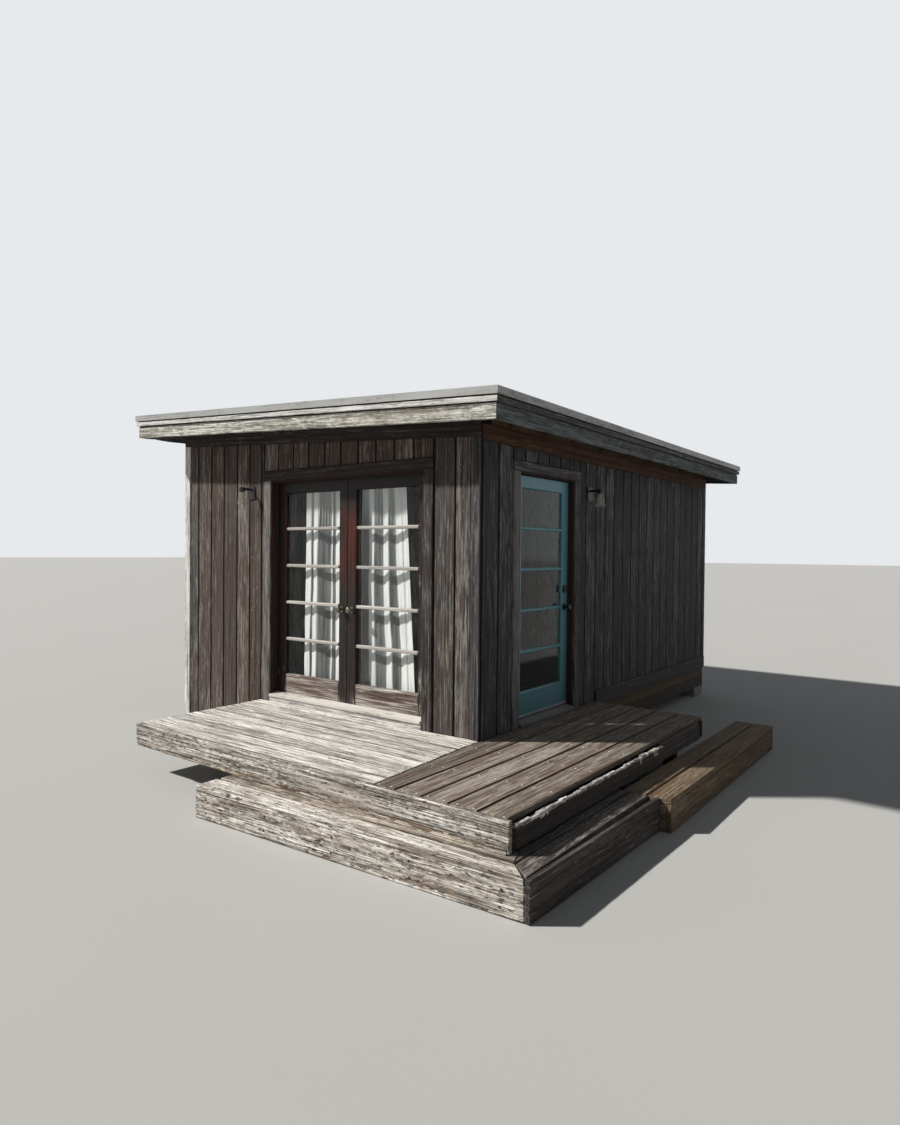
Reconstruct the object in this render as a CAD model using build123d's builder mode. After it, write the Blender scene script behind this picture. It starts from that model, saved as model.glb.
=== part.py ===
"""Garden office pod: a single-slope timber studio with a wrap-round deck and step.

The datum is the near corner of the walls at deck level: X runs right along the front wall, Y runs
back along the side wall and Z runs up. The finished model stands on the ground plane, with its
origin at the bottom centre of the whole object.
"""
import os

from build123d import *

# Building shell
wall_width = 3810.0
wall_depth = 5200.0
wall_thickness = 125.0
floor_top = 30.0
floor_thickness = 38.0
platform_depth = 142.0
skid_width = 140.0
skid_depth = 140.0
deck_height = 410.0
pier_size = 300.0
joist_width = 38.0
joist_count = 12
butt_gap = 0.3

# Roof, falling to the right
eave_over_leaf = 507.0
roof_fall = 0.055
overhang_front = 370.0
overhang_right = 380.0
overhang_left = 370.0
overhang_back = 260.0
flashing_height = 57.0
flashing_sheet = 2.0
flashing_flange = 60.0
roof_deck_thickness = 52.0
fascia_height = 174.0
fascia_thickness = 38.0
fascia_setback = 27.0
trim_thickness = 19.0
trim_height = 40.0
trim_drop = 9.0
groove_size = 8.0
rafter_depth = 140.0
rafter_width = 38.0
rafter_count = 9

# Cladding trim
board_thickness = 19.0
frieze_side_height = 125.0
frieze_rake_height = 240.0
corner_board_width = 89.0
skirt_thickness = 25.0
skirt_end_gap = 15.0
skirt_height = 150.0
skirt_top = 100.0
low_siding_bottom = 360.0
low_siding_thickness = 19.0

# Door leaves
leaf_width = 914.0
leaf_height = 2032.0
leaf_thickness = 44.0
leaf_bottom = 53.0
leaf_gap = 7.0
meeting_gap = 9.0
stile_width = 102.0
top_rail = 105.0
bottom_rail = 212.0
muntin_width = 29.0
lite_count = 5
lite_bevel = 7.0
pane_thickness = 5.0
pane_slot = 5.6
pane_bite = 8.0
pane_play = 0.5

# Door frames
jamb_thickness = 32.0
stop_thickness = 12.0
stop_clearance = 6.0
french_centre = -1492.0
french_recess = 80.0
side_centre = 1025.0
side_recess = 48.0
casing_width = 102.0
head_casing_height = 90.0
french_casing_reveal = 6.0
side_casing_reveal = 20.0
head_reveal = 12.0
sill_seat_gap = 8.0
sill_nose = 30.0
sill_nose_top = 70.0
sill_lip_top = 84.0
side_nose = 35.0
side_nose_top = 25.0
side_lip_top = 66.0
stop_width = 34.0

# Door furniture
knob_height = 920.0
knob_backset = 60.0
rose_radius = 30.0
rose_thickness = 8.0
neck_radius = 11.0
neck_length = 27.0
knob_radius = 27.0
knob_length = 32.0
spindle_radius = 8.0
spindle_bore = 11.0
side_knob_height = 944.0
deadbolt_height = 1110.0
deadbolt_size = 66.0
deadbolt_thickness = 18.0
hinge_radius = 6.0
hinge_clearance = 1.0
hinge_height = 102.0
hinge_plate = 26.0
hinge_sheet = 2.0
hinge_swing_gap = 0.5
knuckle_gap = 0.4
pin_radius = 2.5
pin_clearance = 0.3

# Curtains on the French leaves
rod_radius = 5.0
rod_standoff = 34.0
rod_above_glass = 30.0
rod_overlap = 35.0
bracket_radius = 8.0
curtain_thickness = 48.0
curtain_clearance = 0.3
curtain_bottom = 165.0
curtain_top_width = 520.0
left_curtain_bottom = 545.0
right_curtain_bottom = 640.0

# Wall lights
light_below_leaf_top = 55.0
front_light_x = -2710.0
side_light_y = 1805.0
light_plate_width = 110.0
light_plate_height = 130.0
light_plate_drop = 30.0
light_plate_thickness = 20.0
light_reach = 125.0
light_arm_radius = 11.0
light_cap_radius = 28.0
light_cap_top = 15.0
light_cap_height = 44.0
shade_length = 122.0
shade_neck_radius = 23.0
shade_mouth_radius = 46.0
shade_wall = 3.0

# Deck
deck_board_thickness = 38.0
deck_front_depth = 1295.0
deck_left_end = 2560.0
deck_side_width = 1052.0
deck_side_length = 1960.0
deck_rim_thickness = 38.0
deck_rim_height = 184.0
deck_rim_right_end = 1086.0
mitre_skew = 75.0
deck_side_gap = 8.0
first_board_width = 238.0
side_board_count = 4
side_board_gap = 13.0
side_rim_face = 1109.0
side_rim_height = 140.0
side_rim_drop = 25.0
side_rim_split = 890.0
side_rim_end = 1780.0
side_rim_offset = 14.0
deck_joist_depth = 140.0
front_joist_count = 6
side_joist_count = 7
post_size = 89.0

# Steps
tread_thickness = 38.0
riser_thickness = 38.0
front_step_left = 1270.0
front_step_outer_left = 1610.0
front_step_outer_right = 1482.0
front_tread_joint_left = 1419.0
front_tread_joint_right = 1355.0
tread_gap = 14.0
inner_tread_back = 1200.0
mitre_gap = 3.0
step_join_gap = 0.3
side_tread_inner = 1105.0
side_tread_outer = 1288.0
hidden_tread_side = 1035.0
side_riser_near = 1332.0
side_riser_far = 1373.0
near_step_end = 140.0
far_step_end = 2810.0
far_step_outer = 1450.0
bearer_width = 38.0

# Origin of the whole object, seen from the datum
object_left = -wall_width - overhang_left
object_right = far_step_outer
object_front = -front_step_outer_left
object_back = wall_depth + overhang_back
datum = Plane(
    origin=(
        -(object_left + object_right) / 2,
        -(object_front + object_back) / 2,
        deck_height,
    )
)


def point(x, y, z):
    """A point given from the datum."""
    return datum.origin + Vector(x, y, z)


def front_plane(y):
    """Elevation seen from the front: sketch X is X, sketch Y is Z, and the normal points forward."""
    return Plane(origin=point(0, y, 0), x_dir=(1, 0, 0), z_dir=(0, -1, 0))


def side_plane(x):
    """Elevation seen from the right: sketch X is Y, sketch Y is Z, and the normal points right."""
    return Plane(origin=point(x, 0, 0), x_dir=(0, 1, 0), z_dir=(1, 0, 0))


eave_top = leaf_bottom + leaf_height + eave_over_leaf


def roof_z(x, below):
    """Height of a line that lies a given depth below the top of the roof at x."""
    return eave_top + roof_fall * (overhang_right - x) - below


def save(piece, name):
    """Label one finished node and write its STEP file."""
    piece.part.label = name
    export_step(piece.part, f"parts/{name}.step")


def slab(x, y, z):
    """Square-edged timber between pairs of planes."""
    with BuildPart() as timber:
        with BuildSketch(datum.offset(z[0])):
            with Locations(((x[0] + x[1]) / 2, (y[0] + y[1]) / 2)):
                Rectangle(x[1] - x[0], y[1] - y[0])
        extrude(amount=z[1] - z[0])
    return timber


def plan_board(corners, z):
    """Board with a plan outline of its own, such as a mitred tread."""
    with BuildPart() as board:
        with BuildSketch(datum.offset(z[0])):
            Polygon(*corners, align=None)
        extrude(amount=z[1] - z[0])
    return board


def rake_piece(x, y, low_edge, high_edge):
    """Piece whose top, and bottom if asked, follow the fall of the roof.

    low_edge and high_edge are functions of x that give the height of each edge.
    """
    with BuildPart() as piece:
        with BuildSketch(front_plane(y[0])):
            Polygon(
                (x[0], low_edge(x[0])),
                (x[1], low_edge(x[1])),
                (x[1], high_edge(x[1])),
                (x[0], high_edge(x[0])),
                align=None,
            )
        extrude(amount=-(y[1] - y[0]))
    return piece


def level(height):
    """An edge that stays level."""
    return lambda x: height


def under_roof(below):
    """An edge that runs a given depth below the top of the roof."""
    return lambda x: roof_z(x, below)


def gather(pieces):
    """Put like pieces of one body in one node."""
    with BuildPart() as group:
        for piece in pieces:
            add(piece.part)
    return group


os.makedirs("parts", exist_ok=True)

deck_underside = flashing_sheet + roof_deck_thickness
rafter_underside = deck_underside + rafter_depth
platform_top = floor_top - floor_thickness
platform_bottom = platform_top - platform_depth
skid_bottom = platform_bottom - skid_depth
inner_left = -wall_width + wall_thickness
inner_right = -wall_thickness
inner_front = wall_thickness
inner_back = wall_depth - wall_thickness

# Foundation and floor
pier_x = [-wall_width + skid_width / 2, -wall_width / 2, -skid_width / 2]
pier_inset = (pier_size - skid_width) / 2
pier_columns = [pier_x[0] + pier_inset, pier_x[1], pier_x[2] - pier_inset]
pier_rows = [low_siding_thickness + pier_size / 2, wall_depth / 2, wall_depth - pier_size / 2]
save(
    gather(
        slab(
            (x - pier_size / 2, x + pier_size / 2),
            (y - pier_size / 2, y + pier_size / 2),
            (-deck_height, skid_bottom),
        )
        for x in pier_columns
        for y in pier_rows
    ),
    "pier_blocks",
)
save(
    gather(
        slab(
            (x - skid_width / 2, x + skid_width / 2),
            (low_siding_thickness, wall_depth),
            (skid_bottom, platform_bottom),
        )
        for x in pier_x
    ),
    "skids",
)
platform_band = (platform_bottom, platform_top)
joist_pitch = (inner_back - inner_front) / (joist_count + 1)
floor_frame = [
    slab((-wall_width, 0), (low_siding_thickness, wall_thickness), platform_band),
    slab((-wall_width, 0), (inner_back, wall_depth), platform_band),
    slab((-wall_width, inner_left), (inner_front + butt_gap, inner_back - butt_gap), platform_band),
    slab((inner_right, 0), (inner_front + butt_gap, inner_back - butt_gap), platform_band),
]
for index in range(joist_count):
    joist_y = inner_front + joist_pitch * (index + 1)
    floor_frame.append(
        slab(
            (inner_left + butt_gap, inner_right - butt_gap),
            (joist_y - joist_width / 2, joist_y + joist_width / 2),
            platform_band,
        )
    )
save(gather(floor_frame), "floor_frame")
save(slab((inner_left, inner_right), (inner_front, inner_back), (platform_top, floor_top)), "floor_boards")

# Door openings in the walls
french_clear = 2 * leaf_width + 2 * leaf_gap + meeting_gap
french_left = french_centre - french_clear / 2
french_right = french_centre + french_clear / 2
side_clear = leaf_width + 2 * leaf_gap
side_near = side_centre - side_clear / 2
side_far = side_centre + side_clear / 2
leaf_top = leaf_bottom + leaf_height
head_underside = leaf_top + leaf_gap
opening_top = head_underside + jamb_thickness

# Walls, split beside and over the doorways
front_y = (0, wall_thickness)
gable_top = under_roof(deck_underside)
plate_top = under_roof(rafter_underside)
side_x = (-wall_thickness, 0)
save(
    rake_piece((-wall_width, french_left - jamb_thickness), front_y, level(platform_top), gable_top),
    "front_wall_left",
)
save(
    rake_piece((french_right + jamb_thickness, 0), front_y, level(platform_top), gable_top),
    "front_wall_right",
)
save(
    rake_piece(
        (french_left - jamb_thickness, french_right + jamb_thickness),
        front_y,
        level(opening_top),
        gable_top,
    ),
    "front_wall_header",
)
save(
    rake_piece(side_x, (inner_front, side_near - jamb_thickness), level(platform_top), plate_top),
    "side_wall_front",
)
save(
    rake_piece(side_x, (side_far + jamb_thickness, inner_back), level(platform_top), plate_top),
    "side_wall_rear",
)
save(
    rake_piece(
        side_x, (side_near - jamb_thickness, side_far + jamb_thickness), level(opening_top), plate_top
    ),
    "side_wall_header",
)
save(
    rake_piece((-wall_width, inner_left), (inner_front, inner_back), level(platform_top), plate_top),
    "left_wall",
)
save(rake_piece((-wall_width, 0), (inner_back, wall_depth), level(platform_top), gable_top), "back_wall")

# Roof deck, rafters and the blocks that close the eaves between them
roof_left = object_left
roof_right = overhang_right
roof_front = -overhang_front
roof_back = object_back


def roof_outline(setback):
    """Plan corners of the roof, drawn in by a setback: front left, front right, back right, back left."""
    return [
        (roof_left + setback, roof_front + setback),
        (roof_right - setback, roof_front + setback),
        (roof_right - setback, roof_back - setback),
        (roof_left + setback, roof_back - setback),
    ]


save(
    rake_piece(
        (roof_left + flashing_sheet, roof_right - flashing_sheet),
        (roof_front + flashing_sheet, roof_back - flashing_sheet),
        under_roof(deck_underside),
        under_roof(flashing_sheet),
    ),
    "roof_deck",
)
membrane_edge = flashing_sheet + flashing_flange + butt_gap
save(
    rake_piece(
        (roof_left + membrane_edge, roof_right - membrane_edge),
        (roof_front + membrane_edge, roof_back - membrane_edge),
        under_roof(flashing_sheet),
        under_roof(0),
    ),
    "roof_membrane",
)
fascia_inner = fascia_setback + fascia_thickness
rafter_pitch = (inner_back - inner_front) / rafter_count
rafter_rows = [inner_front + rafter_pitch * (index + 0.5) for index in range(rafter_count)]
rafters = [
    rake_piece(
        (roof_left + fascia_inner, roof_right - fascia_inner),
        (y - rafter_width / 2, y + rafter_width / 2),
        under_roof(rafter_underside),
        under_roof(deck_underside),
    )
    for y in rafter_rows
]
bay_starts = [inner_front] + [y + rafter_width / 2 for y in rafter_rows]
bay_ends = [y - rafter_width / 2 for y in rafter_rows] + [inner_back]
eave_blocks = [
    rake_piece(
        (x, x + rafter_width),
        (start + butt_gap, end - butt_gap),
        under_roof(rafter_underside),
        under_roof(deck_underside),
    )
    for x in (-wall_width, -rafter_width)
    for start, end in zip(bay_starts, bay_ends)
]
save(gather(rafters + eave_blocks), "roof_frame")


def roof_edge(side, setback, thickness, high, low, play=0.0):
    """One mitred board of the stepped roof edge, plumb faced, with its edges along the fall.

    side counts round the roof: front, right, back, left. play opens each mitre.
    """
    outer = roof_outline(setback)
    inner = roof_outline(setback + thickness)
    ends = (side, (side + 1) % 4)
    along = (Vector(*outer[ends[1]]) - Vector(*outer[ends[0]])).normalized() * play
    with BuildPart() as board:
        with BuildSketch(datum):
            Polygon(
                Vector(*outer[ends[0]]) + along,
                Vector(*outer[ends[1]]) - along,
                Vector(*inner[ends[1]]) - along,
                Vector(*inner[ends[0]]) + along,
                align=None,
            )
        extrude(amount=2 * eave_top)
        with BuildSketch(front_plane(roof_front - eave_top)):
            Polygon(
                (roof_left, roof_z(roof_left, low)),
                (roof_right, roof_z(roof_right, low)),
                (roof_right, roof_z(roof_right, high)),
                (roof_left, roof_z(roof_left, high)),
                align=None,
            )
        extrude(amount=-(wall_depth + overhang_back + 2 * eave_top), mode=Mode.INTERSECT)
    return board


trim_high = flashing_height + trim_drop
trim_low = trim_high + trim_height


def fascia(side):
    """Fascia board with a drip groove under the trim."""
    with BuildPart() as board:
        add(
            roof_edge(
                side,
                fascia_setback,
                fascia_thickness,
                deck_underside,
                deck_underside + fascia_height,
                butt_gap,
            ).part
        )
        add(
            roof_edge(side, fascia_setback, groove_size, trim_low, trim_low + groove_size).part,
            mode=Mode.SUBTRACT,
        )
    return board


save(gather(fascia(side) for side in range(4)), "fascia_boards")
with BuildPart() as roof_trim:
    for side in range(4):
        add(roof_edge(side, fascia_setback - trim_thickness, trim_thickness, trim_high, trim_low).part)
save(roof_trim, "roof_trim")


def flashing(side):
    """One length of the folded metal edge: a plumb face and a flange on the roof."""
    with BuildPart() as fold:
        add(roof_edge(side, 0, flashing_sheet, 0, flashing_height).part)
        add(roof_edge(side, 0, flashing_sheet + flashing_flange, 0, flashing_sheet).part)
    return fold


with BuildPart() as drip_edge:
    for side in range(4):
        add(flashing(side).part)
save(drip_edge, "drip_edge")

# Frieze, corner and skirt boards
frieze_top = roof_z(board_thickness, rafter_underside)
left_frieze_top = roof_z(-wall_width, rafter_underside)
rake_frieze_low = deck_underside + frieze_rake_height
run = (butt_gap, wall_depth - butt_gap)
front_skin = (-board_thickness, 0)
back_skin = (wall_depth, wall_depth + board_thickness)
left_skin = (-wall_width - board_thickness, -wall_width)
right_skin = (0, board_thickness)
left_end = (-wall_width, -wall_width + corner_board_width)
right_end = (-corner_board_width, 0)
back_end = (wall_depth - corner_board_width, wall_depth - butt_gap)
friezes = [
    rake_piece((-wall_width, 0), front_skin, under_roof(rake_frieze_low), under_roof(deck_underside)),
    rake_piece((-wall_width, 0), back_skin, under_roof(rake_frieze_low), under_roof(deck_underside)),
    slab(right_skin, run, (frieze_top - frieze_side_height, frieze_top)),
    slab(left_skin, run, (left_frieze_top - frieze_side_height, left_frieze_top)),
]
corner_top = under_roof(rake_frieze_low + butt_gap)
right_corner_top = level(frieze_top - frieze_side_height - butt_gap)
left_corner_top = level(left_frieze_top - frieze_side_height - butt_gap)
corner_foot = level(skirt_top + butt_gap)
corner_boards = [
    rake_piece(left_end, front_skin, level(-low_siding_bottom), corner_top),
    rake_piece(right_end, front_skin, level(butt_gap), corner_top),
    rake_piece(right_skin, back_end, corner_foot, right_corner_top),
    rake_piece(right_end, back_skin, corner_foot, corner_top),
    rake_piece(left_end, back_skin, corner_foot, corner_top),
    rake_piece(left_skin, back_end, corner_foot, left_corner_top),
]
save(gather(friezes + corner_boards), "frieze_and_corner_boards")
skirt_band = (skirt_top - skirt_height, skirt_top)
save(
    gather(
        [
            slab((0, skirt_thickness), (deck_side_length + skirt_end_gap, wall_depth), skirt_band),
            slab((-wall_width, 0), (wall_depth + butt_gap, wall_depth + skirt_thickness), skirt_band),
            slab((-wall_width - skirt_thickness, -wall_width), (0, wall_depth), skirt_band),
            slab(
                (-wall_width + butt_gap, -deck_left_end),
                (0, low_siding_thickness),
                (-low_siding_bottom, platform_top),
            ),
        ]
    ),
    "base_cladding",
)


def portal(face, start, end, bottom, top, board, depth):
    """Three-sided frame of boards round an opening, from an elevation plane inwards."""
    with BuildPart() as frame:
        with BuildSketch(face):
            Polygon(
                (start - board, bottom),
                (start, bottom),
                (start, top),
                (end, top),
                (end, bottom),
                (end + board, bottom),
                (end + board, top + board),
                (start - board, top + board),
                align=None,
            )
        extrude(amount=-depth)
    return frame


def door_frame(face, start, end, stop_depth, stop_size):
    """Jambs and head with the stop that the leaves close against."""
    with BuildPart() as frame:
        add(portal(face, start, end, platform_top, head_underside, jamb_thickness, wall_thickness).part)
        add(
            portal(
                face.offset(-stop_depth),
                start + stop_thickness,
                end - stop_thickness,
                leaf_bottom + bottom_rail / 2,
                head_underside - stop_thickness,
                stop_thickness,
                stop_size,
            ).part
        )
    return frame


def casing(face, start, end, reveal):
    """Flat boards round a doorway: two uprights and a head board lying over them."""
    pieces = []
    head_low = head_underside + head_reveal
    for low, high, bottom, top in (
        (start - reveal - casing_width, start - reveal, butt_gap, head_low - butt_gap),
        (end + reveal, end + reveal + casing_width, butt_gap, head_low - butt_gap),
        (
            start - reveal - casing_width,
            end + reveal + casing_width,
            head_low,
            head_low + head_casing_height,
        ),
    ):
        with BuildPart() as board:
            with BuildSketch(face):
                with Locations(((low + high) / 2, (bottom + top) / 2)):
                    Rectangle(high - low, top - bottom)
            extrude(amount=board_thickness)
        pieces.append(board)
    return pieces


front_face = front_plane(0)
side_face = side_plane(0)
side_stop_depth = side_recess + leaf_thickness + stop_clearance
save(
    door_frame(
        front_face, french_left, french_right, french_recess - stop_clearance - stop_width, stop_width
    ),
    "front_door_frame",
)
save(
    door_frame(side_face, side_near, side_far, side_stop_depth, wall_thickness - side_stop_depth),
    "side_door_frame",
)
# Sills: an outer nose, a seat under the leaves and a lip that the leaves close against
seat_top = leaf_bottom - sill_seat_gap
lip_back = french_recess - stop_clearance
with BuildPart() as front_door_sill:
    with BuildSketch(side_plane(french_left)):
        Polygon(
            (-sill_nose, sill_nose_top - board_thickness),
            (-sill_nose, sill_nose_top),
            (lip_back, sill_lip_top),
            (lip_back, seat_top),
            (wall_thickness, seat_top),
            (wall_thickness, platform_top),
            (0, platform_top),
            (0, sill_nose_top - board_thickness),
            align=None,
        )
    extrude(amount=french_clear)
save(front_door_sill, "front_door_sill")
apron = slab(
    (french_left - french_casing_reveal + butt_gap, french_right + french_casing_reveal - butt_gap),
    front_skin,
    (butt_gap, sill_nose_top - board_thickness),
)
save(
    gather(
        casing(front_face, french_left, french_right, french_casing_reveal)
        + casing(side_face, side_near, side_far, side_casing_reveal)
        + [apron]
    ),
    "door_casings",
)
with BuildPart() as side_door_sill:
    with BuildSketch(front_plane(side_near)):
        Polygon(
            (side_nose, side_nose_top - board_thickness),
            (side_nose, side_nose_top),
            (-side_recess, seat_top),
            (-side_stop_depth, seat_top),
            (-side_stop_depth, side_lip_top),
            (-wall_thickness, side_lip_top),
            (-wall_thickness, platform_top),
            (0, platform_top),
            (0, side_nose_top - board_thickness),
            align=None,
        )
    extrude(amount=-side_clear)
save(side_door_sill, "side_door_sill")

# Door leaves with five beaded lights, each grooved for its own pane
lite_width = leaf_width - 2 * stile_width
lite_height = (leaf_height - top_rail - bottom_rail - (lite_count - 1) * muntin_width) / lite_count
lite_rows = [
    leaf_bottom + bottom_rail + lite_height / 2 + index * (lite_height + muntin_width)
    for index in range(lite_count)
]


def sketch_lites(start, grow):
    """The five openings of one leaf, each grown on all sides."""
    with Locations([(start + leaf_width / 2, row) for row in lite_rows]):
        Rectangle(lite_width + 2 * grow, lite_height + 2 * grow)


def door_leaf(face, start, bores):
    """One divided-light leaf, behind the elevation plane of its outer face."""
    with BuildPart() as leaf:
        with BuildSketch(face):
            with Locations((start + leaf_width / 2, leaf_bottom + leaf_height / 2)):
                Rectangle(leaf_width, leaf_height)
            with Locations([(start + leaf_width / 2, row) for row in lite_rows]):
                Rectangle(lite_width, lite_height, mode=Mode.SUBTRACT)
        extrude(amount=-leaf_thickness)
        faces = leaf.faces().filter_by(face).sort_by(Axis(face.origin, face.z_dir))
        edges = faces[0].inner_wires().edges() + faces[-1].inner_wires().edges()
        chamfer(edges, length=lite_bevel)
        with BuildSketch(face.offset(-(leaf_thickness - pane_slot) / 2)):
            sketch_lites(start, pane_bite)
        extrude(amount=-pane_slot, mode=Mode.SUBTRACT)
        with BuildSketch(face):
            for across, up in bores:
                with Locations((across, up)):
                    Circle(spindle_bore)
        extrude(amount=-leaf_thickness, mode=Mode.SUBTRACT)
    return leaf


def leaf_panes(face, start):
    """The five panes of one leaf, sprung in their grooves."""
    with BuildPart() as panes:
        with BuildSketch(face.offset(-(leaf_thickness - pane_thickness) / 2)):
            sketch_lites(start, pane_bite - pane_play)
        extrude(amount=-pane_thickness)
    return panes


def knob_set(face, across, up):
    """Knob, neck and rose on each face of a leaf, on one spindle."""
    centre = Vector(across, up)
    with BuildPart() as knobs:
        with BuildSketch(face):
            with Locations(centre):
                Circle(spindle_radius)
        extrude(amount=-leaf_thickness)
        for reach in (face, face.offset(-leaf_thickness)):
            way = 1 if reach is face else -1
            with BuildSketch(reach):
                with Locations(centre):
                    Circle(rose_radius)
            extrude(amount=way * rose_thickness)
            with BuildSketch(reach):
                with Locations(centre):
                    Circle(neck_radius)
            extrude(amount=way * (rose_thickness + neck_length))
            with BuildSketch(reach.offset(way * (rose_thickness + neck_length))):
                with Locations(centre):
                    Circle(knob_radius)
            extrude(amount=way * knob_length)
        rims = knobs.edges().filter_by(GeomType.CIRCLE)
        ends = rims.filter_by(lambda edge: abs(edge.radius - knob_radius) < shade_wall / 10)
        fillet(ends, radius=knob_length / 3)
    return knobs


def deadbolt(face, across, up):
    """Square plate with a thumb turn outside and a plate inside, on one spindle."""
    with BuildPart() as lock:
        with BuildSketch(face):
            with Locations((across, up)):
                Circle(spindle_radius)
        extrude(amount=-leaf_thickness)
        for reach, way in ((face, 1), (face.offset(-leaf_thickness), -1)):
            with BuildSketch(reach):
                with Locations((across, up)):
                    RectangleRounded(deadbolt_size, deadbolt_size, rose_thickness)
            extrude(amount=way * deadbolt_thickness)
    return lock


def flat_on(face, across, out):
    """Plan position, from the datum, of a point given on an elevation plane."""
    spot = face.from_local_coords(Vector(across, 0, out)) - datum.origin
    return (spot.X, spot.Y)


def hinge_half(face, low, plate, axis, inward, bands, moving):
    """Half of a butt hinge: a plate along an edge and its knuckles round the pin.

    plate gives where the sheet lies across the gap, axis the across and out places of the pin,
    inward the way from the pin to the leaf, and bands the stretches of height with a knuckle.
    """
    near = axis[1] + inward * (hinge_radius + hinge_swing_gap)
    far = axis[1] + inward * hinge_plate
    with BuildPart() as half:
        with BuildSketch(datum.offset(low)):
            Polygon(
                *[
                    flat_on(face, a, o)
                    for a, o in ((plate[0], near), (plate[1], near), (plate[1], far), (plate[0], far))
                ],
                align=None,
            )
        extrude(amount=hinge_height)
        for start, end in bands:
            with BuildSketch(datum.offset(low + start)):
                with Locations(flat_on(face, *axis)):
                    Circle(hinge_radius)
                Polygon(
                    *[
                        flat_on(face, a, o)
                        for a, o in (
                            (plate[0], near),
                            (plate[1], near),
                            (plate[1], axis[1]),
                            (plate[0], axis[1]),
                        )
                    ],
                    align=None,
                )
            extrude(amount=end - start)
        with BuildSketch(datum.offset(low)):
            with Locations(flat_on(face, *axis)):
                Circle(pin_radius if moving else pin_radius + pin_clearance)
        extrude(amount=hinge_height, mode=Mode.ADD if moving else Mode.SUBTRACT)
    return half


def hinge_halves(face, leaf_edge, way, axis, inward, moving):
    """The three moving or three fixed halves of one leaf's hinges.

    leaf_edge is where the leaf ends across the opening and way points from there to the jamb.
    """
    third = hinge_height / 3
    if moving:
        plate = (leaf_edge, leaf_edge + way * hinge_sheet)
        bands = ((0, third - knuckle_gap), (2 * third + knuckle_gap, hinge_height))
    else:
        plate = (leaf_edge + way * (leaf_gap - hinge_sheet), leaf_edge + way * leaf_gap)
        bands = ((third, 2 * third),)
    return [
        hinge_half(
            face, leaf_bottom + share * leaf_height - hinge_height / 2, plate, axis, inward, bands, moving
        )
        for share in (0.1, 0.5, 0.9)
    ]


french_leaf_face = front_plane(french_recess)
side_leaf_face = side_plane(-side_recess)
left_start = french_left + leaf_gap
right_start = french_right - leaf_gap - leaf_width
side_start = side_near + leaf_gap
left_knob = left_start + leaf_width - knob_backset
right_knob = right_start + knob_backset
side_knob = side_start + leaf_width - knob_backset
save(door_leaf(french_leaf_face, left_start, [(left_knob, knob_height)]), "french_leaf_left")
save(door_leaf(french_leaf_face, right_start, [(right_knob, knob_height)]), "french_leaf_right")
save(
    door_leaf(side_leaf_face, side_start, [(side_knob, side_knob_height), (side_knob, deadbolt_height)]),
    "side_leaf",
)
save(leaf_panes(french_leaf_face, left_start), "french_glass_left")
save(leaf_panes(french_leaf_face, right_start), "french_glass_right")
save(leaf_panes(side_leaf_face, side_start), "side_glass")
# Hinge axes: inside the wall face for the French leaves, outside the leaf for the side door
axis_reach = hinge_radius + hinge_clearance
french_axis_out = -(wall_thickness - french_recess) - axis_reach
side_axis_out = axis_reach
left_hinge = (left_start, -1, (french_left + leaf_gap / 2, french_axis_out), 1)
right_hinge = (right_start + leaf_width, 1, (french_right - leaf_gap / 2, french_axis_out), 1)
side_hinge = (side_start, -1, (side_start, side_axis_out), -1)
# Curtain rods and curtains on the inner faces of the French leaves
inner_leaf_face = french_leaf_face.offset(-leaf_thickness)
rod_height = leaf_bottom + leaf_height - top_rail + rod_above_glass


def curtain_rod(start):
    """Rod with a round bracket at each end, standing off the inner face of a leaf."""
    ends = (start + stile_width - rod_overlap, start + leaf_width - stile_width + rod_overlap)
    with BuildPart() as rod:
        with BuildSketch(side_plane(ends[0])):
            with Locations((french_recess + leaf_thickness + rod_standoff, rod_height)):
                Circle(rod_radius)
        extrude(amount=ends[1] - ends[0])
        with BuildSketch(inner_leaf_face):
            for end in ends:
                with Locations((end, rod_height)):
                    Circle(bracket_radius)
        extrude(amount=-rod_standoff - rod_radius)
    return rod


def curtain(outline):
    """Plain closed panel hung just under its rod, clear of the leaf behind it."""
    with BuildPart() as panel:
        with BuildSketch(inner_leaf_face.offset(-(rod_standoff - curtain_thickness / 2))):
            Polygon(*outline, align=None)
        extrude(amount=-curtain_thickness)
    return panel


save(
    gather(
        [
            knob_set(french_leaf_face, left_knob, knob_height),
            curtain_rod(left_start),
        ]
        + hinge_halves(french_leaf_face, *left_hinge, moving=True)
    ),
    "french_furniture_left",
)
save(
    gather(
        [
            knob_set(french_leaf_face, right_knob, knob_height),
            curtain_rod(right_start),
        ]
        + hinge_halves(french_leaf_face, *right_hinge, moving=True)
    ),
    "french_furniture_right",
)
save(
    gather(
        [
            knob_set(side_leaf_face, side_knob, side_knob_height),
            deadbolt(side_leaf_face, side_knob, deadbolt_height),
        ]
        + hinge_halves(side_leaf_face, *side_hinge, moving=True)
    ),
    "side_furniture",
)
save(
    gather(
        hinge_halves(french_leaf_face, *left_hinge, moving=False)
        + hinge_halves(french_leaf_face, *right_hinge, moving=False)
        + hinge_halves(side_leaf_face, *side_hinge, moving=False)
    ),
    "fixed_hinge_plates",
)
curtain_top = rod_height - rod_radius - curtain_clearance
left_curtain_end = left_start + stile_width + lite_width
right_curtain_start = right_start + stile_width
save(
    curtain(
        [
            (left_curtain_end - left_curtain_bottom, curtain_bottom),
            (left_curtain_end, curtain_bottom),
            (left_curtain_end, curtain_top),
            (left_curtain_end - curtain_top_width, curtain_top),
        ]
    ),
    "curtain_left",
)
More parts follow.
